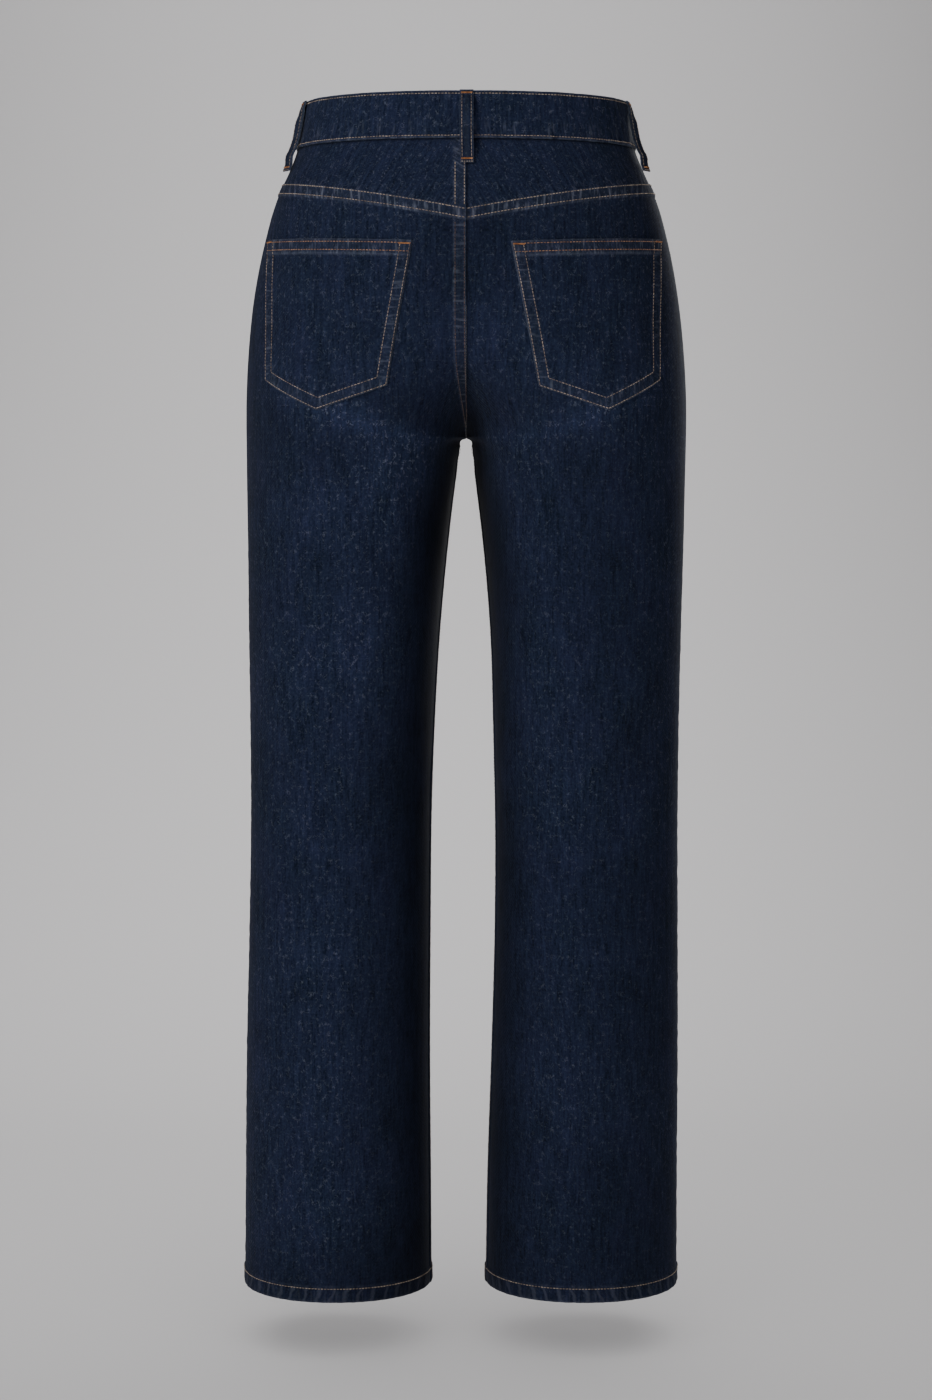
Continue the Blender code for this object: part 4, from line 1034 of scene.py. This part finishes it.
def pocket_corners(pocket):
    """The pocket's corners as distance on the cloth from its inner side, and height."""
    corners = {}
    for label in ("top_in", "top_out", "foot_in", "foot_out", "tip"):
        x, z = getattr(pocket, label)
        reach = find_on_cloth(pocket.side, BACK, np.array([z]), x, by_x=True)[2]
        first = panel_edges(pocket.side, BACK, np.array([z]))[0]
        corners[label] = (float((reach - first - pocket_start(pocket, np.array([z])))[0]), z)
    return corners


def pocket_cloth(pocket, corners, a, z):
    """Points, normals and look on the pocket's outer face at flat points of it."""
    points, normals, _ = panel_cloth(pocket.side, BACK, z, a + pocket_start(pocket, z))
    inner = line_distance(a, z, corners["top_in"], corners["foot_in"])
    outer = line_distance(a, z, corners["top_out"], corners["foot_out"])
    before_tip = a <= corners["tip"][0]
    foot = np.where(
        before_tip,
        line_distance(a, z, corners["foot_in"], corners["tip"]),
        line_distance(a, z, corners["tip"], corners["foot_out"]),
    )
    top = line_distance(a, z, corners["top_in"], corners["top_out"])
    edge = np.minimum(np.minimum(inner, outer), foot)
    seed = 30 + pocket.side
    along = np.where(foot < np.minimum(inner, outer), a, z)
    pucker = ripple(along, seed, 0.0088)
    across = ripple(a, seed + 2, 0.0105)
    turned = fading(edge, TURNED - 0.0006, TURNED + 0.0008)
    hem = fading(top, POCKET_HEM - 0.0004, POCKET_HEM + 0.0008)
    lift = 0.0013 * fading(edge, 0.0, 0.0012)
    stands = SEAM_GAP + POCKET_WALL - lift * 0.75 - 0.0004 * fading(top, 0.0, 0.0010)
    stands = stands + np.maximum(turned * 0.00040, hem * 0.00085) * fading(-edge, -0.0010, 0.0)
    stands = stands + pucker * 0.00022 * fading(edge, 0.006, 0.015) * fading(-edge, -0.0008, 0.0)
    stands = stands + across * 0.00022 * fading(top, 0.008, 0.019)
    middle = fading(-edge, -0.030, -0.008) * fading(-top, -0.030, -0.008)
    stands = stands + POCKET_CROWN * middle + 0.00035 * middle * ripple(a + 0.3 * z, seed + 4, 0.047)
    wear = 0.42 * soft_line(edge, 0.0011) * (0.65 + 0.35 * pucker)
    wear = wear + turned * 0.03 + hem * 0.05
    gather = np.where(np.minimum(inner, outer) < foot, -0.45, 0.45) * turned
    gather = np.where(hem > 0.01, 0.60 * hem, gather)
    wear = wear + 0.30 * soft_line(top, 0.0011) * (0.7 + 0.3 * across)
    wear = wear + 0.30 * soft_line(top - POCKET_HEM, 0.0009) * (0.7 + 0.3 * across)
    return points + normals * stands[..., None], normals, look_of(wear, gather)


def between(start, end, share):
    """A point part of the way between two corners."""
    return start[0] + (end[0] - start[0]) * share, start[1] + (end[1] - start[1]) * share


for pocket, label in zip(POCKETS, ("left", "right")):
    corners = pocket_corners(pocket)
    share = (corners["tip"][0] - corners["foot_in"][0]) / (corners["foot_out"][0] - corners["foot_in"][0])
    widths = [corners["top_out"][0] - corners["top_in"][0], corners["foot_out"][0] - corners["foot_in"][0]]
    columns = []
    for width in widths:
        marks = POCKET_MARKS / width
        first_run = np.linspace(marks[-1], share, 22)[1:]
        second_run = np.linspace(share, 1 - marks[-1], 19)[1:]
        columns.append(np.concatenate([marks, first_run, second_run, 1 - marks[-2::-1]]))
    top_a, top_z = between(corners["top_in"], corners["top_out"], columns[0])
    foot_a = corners["foot_in"][0] + (corners["foot_out"][0] - corners["foot_in"][0]) * columns[1]
    foot_z = np.interp(
        foot_a,
        [corners["foot_in"][0], corners["tip"][0], corners["foot_out"][0]],
        [corners["foot_in"][1], corners["tip"][1], corners["foot_out"][1]],
    )
    tall = top_z - foot_z
    start = np.broadcast_to(POCKET_TOP[:, None], (len(POCKET_TOP), len(tall)))
    end = tall - POCKET_MARKS[::-1][:, None]
    even = start[-1] + (end[0] - start[-1]) * np.linspace(0, 1, 42)[1:-1, None]
    drop = np.concatenate([start, even, end])
    heights = top_z - drop
    aside = top_a + (foot_a - top_a) * drop / tall
    outer, normals, look = pocket_cloth(pocket, corners, aside, heights)
    on_leg = aside + pocket_start(pocket, heights)
    inner = panel_cloth(pocket.side, BACK, heights, on_leg)[0] + normals * 0.0001
    place = grain_map(pocket.side, BACK, heights, on_leg) + (0.5, 0)
    patch = cloth_mesh("back_pocket_" + label + "_cloth", outer, inner, place, look, denim, 1.06)
    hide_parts("back_pocket_" + label)

    def row_on_pocket(start, end, samples=60, **stitch):
        """A row of stitches between two flat points of the pocket."""
        steps = np.linspace(0, 1, samples)
        points, normals, _ = pocket_cloth(
            pocket, corners, start[0] + (end[0] - start[0]) * steps, start[1] + (end[1] - start[1]) * steps
        )
        return stitches_along(points, normals, **stitch)

    def inset_corner(name, before, after, inset):
        """A corner moved in by the same distance from the two edges that meet there."""
        at, back_to, on_to = (np.array(corners[key]) for key in (name, before, after))
        one = (back_to - at) / np.linalg.norm(back_to - at)
        two = (on_to - at) / np.linalg.norm(on_to - at)
        half = math.acos(float(np.clip(one @ two, -1, 1))) / 2
        way = (one + two) / np.linalg.norm(one + two)
        return at + way * inset / math.sin(half)

    hem_rows, edge_rows = [], []
    for below in POCKET_HEM_ROWS:
        start = between(corners["top_in"], corners["foot_in"], below / 0.12)
        end = between(corners["top_out"], corners["foot_out"], below / 0.12)
        hem_rows.append(row_on_pocket((start[0] + 0.0012, start[1]), (end[0] - 0.0012, end[1]), 120))
    for inset in POCKET_EDGE_ROWS:
        foot_in = inset_corner("foot_in", "top_in", "tip", inset)
        tip = inset_corner("tip", "foot_in", "foot_out", inset)
        foot_out = inset_corner("foot_out", "tip", "top_out", inset)
        top_in = inset_corner("top_in", "foot_in", "top_out", inset)
        top_out = inset_corner("top_out", "top_in", "foot_out", inset)
        top_in[1] = corners["top_in"][1] - 0.0030
        top_out[1] = corners["top_out"][1] - 0.0030
        edge_rows += [
            row_on_pocket(start, end, radius=0.00032)
            for start, end in ((top_in, foot_in), (foot_in, tip), (tip, foot_out), (foot_out, top_out))
        ]
    sewn("pocket_hem_stitching_" + label, hem_rows, rust_thread)
    sewn("pocket_edge_stitching_" + label, edge_rows, tan_thread)
    tacks = []
    for near, toward in (("top_in", 0.0060), ("top_out", -0.0060)):
        a, z = corners[near]
        points, normals, _ = pocket_cloth(
            pocket, corners, np.array([a + toward, a + toward + 0.003]), np.array([z - 0.0027, z - 0.0027])
        )
        tacks.append(bar_tack(points[0], points[1] - points[0], normals[0], 0.0095, 0.0013))
    sewn("pocket_tacks_" + label, tacks, tack_thread)

# Waistband
# One long strip of denim folded over the top edge, cut along the warp, with its right end tucked under
# its left end at the front. It is sewn on by one row near each edge.
WAIST_TOP = 0.0195
BAND_PROUD = 0.0015
BAND_LAP_OVER = 0.0120
BAND_LAP_UNDER = 0.0280
BAND_DIP_FROM = 0.0150
BAND_DIP_TO = 0.0450


def quarter_ends(z):
    """First and last distances of the four quarters of the waist, from the centre front by the right side."""
    ends = []
    for side, face in ((RIGHT, FRONT), (RIGHT, BACK), (LEFT, BACK), (LEFT, FRONT)):
        start = find_on_cloth(side, face, z, np.zeros_like(z), by_x=True)[2]
        ends.append((start, find_on_cloth(side, face, z, np.full_like(z, 9.0))[2]))
    return ends


def waist_point(z, share):
    """Points and normals on the waist at a share of the way round from the front, by the right side."""
    z, share = (np.array(v, float) for v in np.broadcast_arrays(z, share))
    ends = quarter_ends(z)
    lengths = np.array([last - first for first, last in ends])
    starts = np.concatenate([np.zeros((1, *z.shape)), np.cumsum(lengths, axis=0)])
    at = (share % 1) * starts[-1]
    points, normals = np.zeros((*z.shape, 3)), np.zeros((*z.shape, 3))
    quarters = ((RIGHT, FRONT), (RIGHT, BACK), (LEFT, BACK), (LEFT, FRONT))
    for number, (side, face) in enumerate(quarters):
        here = (at >= starts[number]) & (at <= starts[number + 1])
        if not here.any():
            continue
        into = at - starts[number]
        first, last = ends[number]
        reach = first + into if number in (0, 2) else last - into
        points[here], normals[here], _ = find_on_cloth(side, face, z[here], reach[here])
    return points, normals


waist_round = sum(float(last[0] - first[0]) for first, last in quarter_ends(np.zeros(1)))
hip_round = waist_round + BAND_LAP_OVER


def band_cloth(z, run):
    """Points, normals and look of the band's outer face at heights and distances round from the front."""
    points, normals = waist_point(z, run / waist_round)
    dip = 1 - np.clip((run - BAND_DIP_FROM) / (BAND_DIP_TO - BAND_DIP_FROM), 0, 1)
    dip = dip * dip * (3 - 2 * dip) * (DENIM + BAND_PROUD + SEAM_GAP)
    down, up = WAIST_TOP - z, z - WAIST_SEAM
    top_pucker = ripple(run, 101, 0.0120)
    low_pucker = ripple(run + 0.3 * z, 102, 0.0098)
    slack = ripple(run + 0.5 * z, 103, 0.052)
    stands = BAND_PROUD - dip + 0.00028 * top_pucker * fading(down, 0.001, 0.012)
    stands = stands + 0.00048 * low_pucker * fading(up, 0.001, 0.017) + 0.00045 * slack
    stands = stands - 0.00045 * fading(down, 0.0, 0.0011) - 0.00035 * fading(up, 0.0, 0.0010)
    wear = 0.26 * soft_line(down, 0.0012) * (0.7 + 0.3 * top_pucker)
    wear = wear + 0.40 * soft_line(up, 0.0012) * (0.6 + 0.4 * low_pucker)
    gather = 0.46 * fading(up, 0.008, 0.019) * (0.45 + 0.55 * low_pucker) + 0.24 * fading(down, 0.002, 0.010)
    return points + normals * stands[..., None], normals, look_of(wear, gather)


marks = (0.0, 0.0005, 0.0012, 0.0024, 0.0044)
middle = np.linspace(0.0130, -0.0130, 11)
levels = np.concatenate([WAIST_TOP - np.array(marks), middle, WAIST_SEAM + np.array(marks[::-1])])
run = np.linspace(-BAND_LAP_UNDER, hip_round, 300)
heights, around = np.meshgrid(levels, run, indexing="ij")
outer, normals, look = band_cloth(heights, around)
inner = outer - normals * (DENIM + BAND_PROUD)
band = cloth_mesh("waistband_cloth", outer, inner, np.stack([around, heights], axis=-1), look, denim, 1.12)
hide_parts("waistband")


def band_row(z, start, end, samples=700, **stitch):
    """A row of stitches round the waistband at one height."""
    run = np.linspace(start, end, samples)
    points, normals, _ = band_cloth(np.full(samples, z), run)
    return stitches_along(points, normals, **stitch)


top_row, low_row = WAIST_TOP - 0.0026, WAIST_SEAM + 0.0018
rows = [band_row(z, 0.013, hip_round - 0.0015) for z in (top_row, low_row)]
end_z = np.linspace(top_row, low_row, 40)
points, normals, _ = band_cloth(end_z, np.full(40, hip_round - 0.0018))
rows.append(stitches_along(points, normals))
sewn("waistband_stitching", rows, tan_thread)

# Belt loops
# Five straps of denim folded in three, sewn by a row near each edge. Each is caught in the waistband's
# top edge, stands clear of the band for a belt, and ends in a bar tack below the seam.
LOOP_WIDTH = 0.0115
LOOP_WALL = 0.0016
LOOP_ON_BAND = BAND_PROUD + SEAM_GAP
LOOP_CLEAR = BAND_PROUD + 0.0050
LOOP_PATH = (
    (WAIST_TOP + 0.0004, LOOP_ON_BAND),
    (0.0158, LOOP_ON_BAND),
    (0.0085, BAND_PROUD + 0.0036),
    (0.0015, LOOP_CLEAR),
    (WAIST_SEAM, LOOP_CLEAR),
    (-0.0290, LOOP_CLEAR - 0.0010),
    (-0.0340, FELL_RISE + SEAM_GAP),
    (-0.0405, FELL_RISE + SEAM_GAP),
)
LOOP_BEHIND_SIDE = 0.022
LOOP_FRONT = 0.078
LOOP_LIFT = 0.00010
side_share = 1 / 4 + LOOP_BEHIND_SIDE / waist_round
front_share = LOOP_FRONT / waist_round
LOOPS = (
    ("belt_loop_back", 1 / 2),
    ("belt_loop_side_right", side_share),
    ("belt_loop_side_left", 1 - side_share),
    ("belt_loop_front_right", front_share),
    ("belt_loop_front_left", 1 - front_share),
)
# The side loops lie close to the band and hang a little turned, each with its face to the back
LOOP_SLACK = 0.0022
LOOP_TWIST = {round(side_share, 6): math.radians(-18), round(1 - side_share, 6): math.radians(18)}


def loop_cloth(share, down, across):
    """Points, normals and look of a belt loop at shares of the way down it and places across it."""
    path_z = np.array([z for z, _ in LOOP_PATH])
    clear = np.array([c for _, c in LOOP_PATH])
    fine_z = np.linspace(path_z[0], path_z[-1], 161)
    fine_clear = np.interp(-fine_z, -path_z, clear)
    fine_clear[1:-1] = np.convolve(np.pad(fine_clear, 8, mode="edge"), np.ones(17) / 17, mode="valid")[1:-1]
    z = path_z[0] + (path_z[-1] - path_z[0]) * down
    points, normals = waist_point(z, np.full_like(z, share))
    points = points + normals * np.interp(-z, -fine_z, fine_clear)[..., None]
    slack = LOOP_SLACK if round(share, 6) in LOOP_TWIST else 0
    points = points - normals * (slack * (1 - fading(down, 0.08, 0.22)) * fading(down, 0.55, 0.95))[..., None]
    flat = normals * np.array([1, 1, 0])
    flat /= np.linalg.norm(flat, axis=-1, keepdims=True)
    twist = LOOP_TWIST.get(round(share, 6), 0) * (1 - fading(down, 0.05, 0.35))
    lift = np.abs(np.sin(twist)) * LOOP_WIDTH / 2 * (1 - fading(down, 0.70, 0.90))
    points = points + normals * lift[..., None]
    turned = np.cross(np.array([0, 0, 1.0]), flat)
    flat = flat * np.cos(twist)[..., None] + turned * np.sin(twist)[..., None]
    aside = np.cross(flat, np.array([0, 0, 1.0]))
    edge = LOOP_WIDTH / 2 - np.abs(across)
    pucker = ripple(z + 0.2 * across, int(share * 100), 0.0042)
    stands = LOOP_WALL - 0.0005 * fading(edge, 0, 0.0010) + 0.0002 * pucker * fading(edge, 0.001, 0.004)
    stands = stands + 0.0003 * fading(edge, 0.0030, 0.0042)
    ends = np.minimum(down, 1 - down) * 0.060
    stands = stands - 0.0004 * fading(ends, 0, 0.0010)
    wear = 0.30 * soft_line(edge, 0.0009) * (0.7 + 0.3 * pucker) + 0.07 * fading(-edge, -0.0048, -0.0036)
    wear = wear + 0.34 * soft_line(ends, 0.0010)
    look = look_of(wear, -0.35 * fading(edge, 0.001, 0.004))
    return points + aside * across[..., None] + flat * stands[..., None], flat, look


for name, share in LOOPS:
    down, across = np.meshgrid(
        np.concatenate([[0, 0.008, 0.02, 0.04], np.linspace(0.06, 0.94, 48), [0.96, 0.98, 0.992, 1]]),
        np.array([-0.5, -0.47, -0.42, -0.33, -0.2, -0.07, 0.07, 0.2, 0.33, 0.42, 0.47, 0.5]) * LOOP_WIDTH,
        indexing="ij",
    )
    outer, normals, look = loop_cloth(share, down, across)
    inner = outer - normals * (LOOP_WALL - 0.0003)
    place = np.stack([across + 0.02, down * 0.060], axis=-1)
    strap = cloth_mesh(name + "_cloth", outer, inner, place, look, denim)
    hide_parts(name)
    rows = []
    for aside in (-0.34, 0.34):
        steps = np.linspace(0.03, 0.97, 60)
        points, normals, _ = loop_cloth(share, steps, np.full(60, aside * LOOP_WIDTH))
        rows.append(stitches_along(points, normals, LOOP_LIFT, 0.00024, 0.0028, 0.0023))
    points, normals, _ = loop_cloth(share, np.full(40, 0.985), np.linspace(-0.44, 0.44, 40) * LOOP_WIDTH)
    rows.append(stitches_along(points, normals, LOOP_LIFT, 0.00030, 0.0020, 0.0014))
    sewn(name + "_stitching", rows, tan_thread)
    tacks = []
    for down_at in (0.045, 0.945):
        points, normals, _ = loop_cloth(share, np.full(2, down_at), np.array([0, 0.001]))
        tacks.append(bar_tack(points[0], points[1] - points[0], normals[0], 0.0090, 0.0015))
    sewn(name + "_tacks", tacks, tack_thread)

# Waist button
# A turned brass button with an aged copper look, on a shank through the band's under end. Its domed cap
# has a raised rim and a plain sunk centre, and it stands in a worked keyhole buttonhole.
BUTTON_X = 0.0015
button_metal, tree, shader = material_of("button_metal")
place = tree.nodes.new("ShaderNodeTexCoord")
inputs = {"Scale": 420, "Detail": 4, "Vector": place.outputs["Object"]}
patina = node_of(tree, "ShaderNodeTexNoise", inputs).outputs["Fac"]
colour = blended(tree, patina, (0.110, 0.062, 0.036), (0.420, 0.270, 0.170))
rough = spread(tree, patina, 0, 1, 0.55, 0.28)
joined(tree, shader, {"Base Color": colour, "Roughness": rough, "Metallic": 1.0})
BUTTON_TURN = (
    (0.0, 0.0030), (0.0022, 0.0029), (0.0042, 0.0028), (0.0048, 0.0031), (0.0053, 0.0036),
    (0.0060, 0.0041), (0.0070, 0.0042), (0.0079, 0.0039), (0.0085, 0.0032), (0.0084, 0.0026),
    (0.0078, 0.0023), (0.0045, 0.0020), (0.0037, 0.0017), (0.0036, 0.0003),
)
face_point, _ = waist_point(np.zeros(1), np.array([1 - BUTTON_X / waist_round]))
mesh = bpy.data.meshes.new("button_turned")
mesh.from_pydata([(r, 0, h) for r, h in BUTTON_TURN], [(i, i + 1) for i in range(len(BUTTON_TURN) - 1)], [])
mesh.materials.append(button_metal)
button = linked("button_turned", mesh)
turn = button.modifiers.new("turn", "SCREW")
turn.steps = turn.render_steps = 48
turn.use_merge_vertices = True
turn.merge_threshold = 0.000002
button.rotation_euler = (math.radians(90), 0, 0)
button.location = (face_point[0, 0], face_point[0, 1] - BAND_PROUD - SEAM_GAP, 0)
bpy.context.view_layer.objects.active = button
button.select_set(True)
bpy.ops.object.modifier_apply(modifier="turn")
bpy.ops.object.transform_apply(location=True, rotation=True, scale=True)
bpy.ops.object.mode_set(mode="EDIT")
bpy.ops.mesh.select_all(action="SELECT")
bpy.ops.mesh.normals_make_consistent(inside=False)
bpy.ops.object.mode_set(mode="OBJECT")
bpy.ops.object.shade_smooth_by_angle(angle=math.radians(40))
bpy.ops.object.select_all(action="DESELECT")
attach(button, "root")
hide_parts("waist_button")

# The buttonhole's close stitches stand across a long slot with rounded ends
HOLE_HALF = 0.0085
HOLE_ROUND = 0.0016
HOLE_BITE = 0.0016
HOLE_MIDDLE = hip_round - BAND_LAP_OVER - 0.0065


def hole_edge(t):
    """A place on the slot's edge at a share of the way round it, and its way out."""
    side = 1 if t < 0.5 else -1
    run = (t % 0.5) / 0.4
    if run < 1:
        return side * (2 * run - 1) * HOLE_HALF, side * HOLE_ROUND, 0, side
    turned = side * math.pi / 2 - math.pi * (t % 0.5 - 0.4) / 0.1
    out = math.cos(turned), math.sin(turned)
    return side * HOLE_HALF + HOLE_ROUND * out[0], HOLE_ROUND * out[1], *out


hole = []
for t in np.linspace(0, 1, 64, endpoint=False):
    x, z, out_x, out_z = hole_edge(t)
    along = HOLE_MIDDLE - np.array([x, x + HOLE_BITE * out_x])
    spots, ways, _ = band_cloth(np.array([z, z + HOLE_BITE * out_z]), along)
    spots = spots + ways * 0.0001
    hole.append((spots[:1], spots[1:], ways[:1], np.array([TACK_RADIUS])))
sewn("buttonhole", hole, rust_thread)

# Zip
# Two woven tapes behind the fly with a closed brass chain between them, and a slider at the top. The
# tapes are sewn to the fly's facings, and the chain ends at the fly's foot.
ZIP_TAPE = 0.0130
ZIP_FOOT = -0.1430
ZIP_MIDDLE = 0.0045
zip_tape, tree, shader = material_of("zip_tape")
place = node_of(tree, "ShaderNodeUVMap", {}, uv_map="cloth")
inputs = {"Scale": 420, "Distortion": 0.6, "Vector": place.outputs["UV"]}
ribs = node_of(tree, "ShaderNodeTexWave", inputs, bands_direction="Y").outputs["Fac"]
colour = blended(tree, ribs, (0.006, 0.009, 0.020), (0.022, 0.030, 0.055))
bump = node_of(tree, "ShaderNodeBump", {"Distance": 0.0002, "Height": ribs})
joined(tree, shader, {"Base Color": colour, "Roughness": 0.8, "Normal": bump.outputs["Normal"]})


def behind_fly(x, z, deep):
    """Points and inward normals behind the fly at each x and height."""
    x, z = np.broadcast_arrays(np.asarray(x, float), np.asarray(z, float))
    points, normals = np.zeros((*x.shape, 3)), np.zeros((*x.shape, 3))
    for side in (LEFT, RIGHT):
        here = (x >= 0) if side == LEFT else (x < 0)
        if here.any():
            points[here], normals[here], _ = find_on_cloth(side, FRONT, z[here], np.abs(x[here]), by_x=True)
    return points - normals * deep, -normals


FLY_DEEP = 2 * (DENIM + SEAM_GAP)
heights, across = np.meshgrid(
    np.linspace(WAIST_SEAM - 2 * SEAM_GAP, ZIP_FOOT, 50), np.linspace(-ZIP_TAPE, ZIP_TAPE, 12), indexing="ij"
)
outer, normals = behind_fly(across, heights, FLY_DEEP)
flat = np.stack([across, heights], axis=-1)
tape = cloth_mesh("zip_tapes", outer, outer + normals * 0.0007, flat, np.zeros_like(outer), zip_tape)
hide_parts("zip")
bpy.ops.mesh.primitive_cube_add(size=1)
tooth = bpy.context.object
bpy.ops.transform.resize(value=(0.0026, 0.0011, 0.0013))
bpy.ops.object.transform_apply(scale=True)
bevel = tooth.modifiers.new("bevel", "BEVEL")
bevel.width = 0.00025
bevel.segments = 1
bpy.ops.object.modifier_apply(modifier="bevel")
one = np.array([v.co for v in tooth.data.vertices])
one_faces = [tuple(p.vertices) for p in tooth.data.polygons]
bpy.data.objects.remove(tooth)
points, faces = [], []
for number, z in enumerate(np.arange(WAIST_SEAM - 0.014, ZIP_FOOT + 0.003, -0.00115)):
    x = ZIP_MIDDLE + (0.0007 if number % 2 else -0.0007)
    at = behind_fly(np.array([x]), np.array([z]), FLY_DEEP - 0.0004)[0]
    faces += [tuple(i + len(points) * len(one) for i in face) for face in one_faces]
    points.append(one + at[0])
mesh = bpy.data.meshes.new("zip_teeth")
mesh.from_pydata(np.concatenate(points).tolist(), [], faces)
mesh.materials.append(button_metal)
teeth = linked("zip_teeth", mesh)
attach(teeth, "root")
at = behind_fly(np.array([ZIP_MIDDLE]), np.array([WAIST_SEAM - 0.0085]), FLY_DEEP)[0]
bpy.ops.mesh.primitive_cube_add(size=1, location=at[0])
slider = bpy.context.object
slider.name = slider.data.name = "zip_slider"
bpy.ops.transform.resize(value=(0.0070, 0.0030, 0.0090))
bpy.ops.object.transform_apply(location=True, scale=True)
bpy.ops.object.mode_set(mode="EDIT")
bpy.ops.mesh.select_all(action="SELECT")
bpy.ops.mesh.bevel(offset=0.0010, segments=3, affect="EDGES")
bpy.ops.object.mode_set(mode="OBJECT")
bpy.ops.object.shade_smooth_by_angle(angle=math.radians(40))
slider.data.materials.append(button_metal)
bpy.ops.object.select_all(action="DESELECT")
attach(slider, "root")

# Studio
# A pale floor that curves up into a pale grey wall. The garment has a soft key light high on the image's
# left, a weak fill, a light along its right edge and one for its front. The paper has its own soft lights,
# and the one above gives the shadow under the hems. Past the paper the camera sees the same pale grey.
STAGE_FLOOR = -1.083
PAPER_MIDDLE = 0.15
PAPER_PAINTED_SHADE = 0.20
PAPER_DARKEST = 0.32
profile = [(4.0, STAGE_FLOOR)] + [
    (-0.6 - 3.0 * math.sin(t), STAGE_FLOOR + 3.0 * (1 - math.cos(t))) for t in np.linspace(0, math.pi / 2, 48)
] + [(-3.6, 5.0)]
mesh = bpy.data.meshes.new("studio_floor")
points = [(x, y, z) for y, z in profile for x in (-6.0, 6.0)]
faces = [(2 * i + 2, 2 * i + 3, 2 * i + 1, 2 * i) for i in range(len(profile) - 1)]
mesh.from_pydata(points, [], faces)
mesh.shade_smooth()
floor = linked("studio_floor", mesh)
paper, tree, shader = material_of("studio_paper")
place = tree.nodes.new("ShaderNodeTexCoord")
# Painted shade: the paper's colour darkens away from the middle, as light falling off to the sides
apart = node_of(tree, "ShaderNodeSeparateXYZ", {"Vector": place.outputs["Object"]})
aside = combined(tree, "SUBTRACT", apart.outputs["X"], PAPER_MIDDLE)
shade = combined(tree, "MULTIPLY", combined(tree, "MULTIPLY", aside, aside), PAPER_PAINTED_SHADE)
shade = combined(tree, "MINIMUM", shade, PAPER_DARKEST)
colour = blended(tree, shade, (0.640, 0.626, 0.632), (0, 0, 0))
joined(tree, shader, {"Base Color": colour, "Roughness": 0.95, "Specular IOR Level": 0.1})
# The paper is clear from its back, so that it hides nothing from a camera in front of the garment
behind = tree.nodes.new("ShaderNodeNewGeometry")
clear = tree.nodes.new("ShaderNodeBsdfTransparent")
inputs = {"Fac": behind.outputs["Backfacing"], 1: shader.outputs["BSDF"], 2: clear.outputs["BSDF"]}
one_sided = node_of(tree, "ShaderNodeMixShader", inputs)
joined(tree, tree.nodes["Material Output"], {"Surface": one_sided.outputs["Shader"]})
mesh.materials.append(paper)
paper_only = bpy.data.collections.new("paper_only")
paper_only.objects.link(floor)
garment_only = bpy.data.collections.new("garment_only")
for piece in bpy.context.scene.objects:
    if piece.type == "MESH" and piece != floor:
        garment_only.objects.link(piece)


def soft_light(name, place, target, size, power, lit, shadow=True, colour=(1, 1, 1)):
    """A square studio light turned to its target, which lights only that collection."""
    bpy.ops.object.light_add(type="AREA", location=place)
    light = bpy.context.object
    light.name = name
    light.data.size = size
    light.data.energy = power
    light.data.color = colour
    light.data.use_shadow = shadow
    light.visible_camera = False
    light.light_linking.receiver_collection = lit
    way = np.array(target) - np.array(place)
    light.rotation_euler = (math.atan2(math.hypot(way[0], way[1]), -way[2]), 0, math.atan2(-way[0], way[1]))


soft_light("key_light", (2.1, 2.5, 1.1), (0, 0, -0.5), 1.2, 66, garment_only, colour=(1.0, 0.99, 0.98))
soft_light("fill_light", (-1.6, 3.2, 0.2), (0, 0, -0.5), 1.6, 4, garment_only)
soft_light("rim_light", (-2.4, 0.9, 0.1), (0, 0, -0.5), 1.0, 4, garment_only)
soft_light("front_light", (-1.1, -2.7, 0.6), (0, 0, -0.5), 1.6, 60, garment_only)
soft_light("top_light", (0.0, 0.7, 2.8), (0, 0.0, -1.0), 6.0, 132, paper_only)
soft_light("paper_light", (0.2, 3.0, -0.55), (0.2, -3.0, 0.0), 1.4, 185, paper_only, shadow=False)
soft_light("wall_light", (0.2, 0.18, 0.6), (0.2, -3.0, 0.6), 1.0, 27, paper_only, shadow=False)
world = bpy.data.worlds.new("studio")
bpy.context.scene.world = world
world.use_nodes = True
tree = world.node_tree
dim = joined(tree, tree.nodes["Background"], {"Color": (0.80, 0.82, 0.85, 1), "Strength": 0.06})
pale = node_of(tree, "ShaderNodeBackground", {"Color": (0.47, 0.46, 0.465, 1)})
seen = tree.nodes.new("ShaderNodeLightPath")
inputs = {"Fac": seen.outputs["Is Camera Ray"], 1: dim.outputs["Background"], 2: pale.outputs["Background"]}
either = node_of(tree, "ShaderNodeMixShader", inputs)
joined(tree, tree.nodes["World Output"], {"Surface": either.outputs["Shader"]})
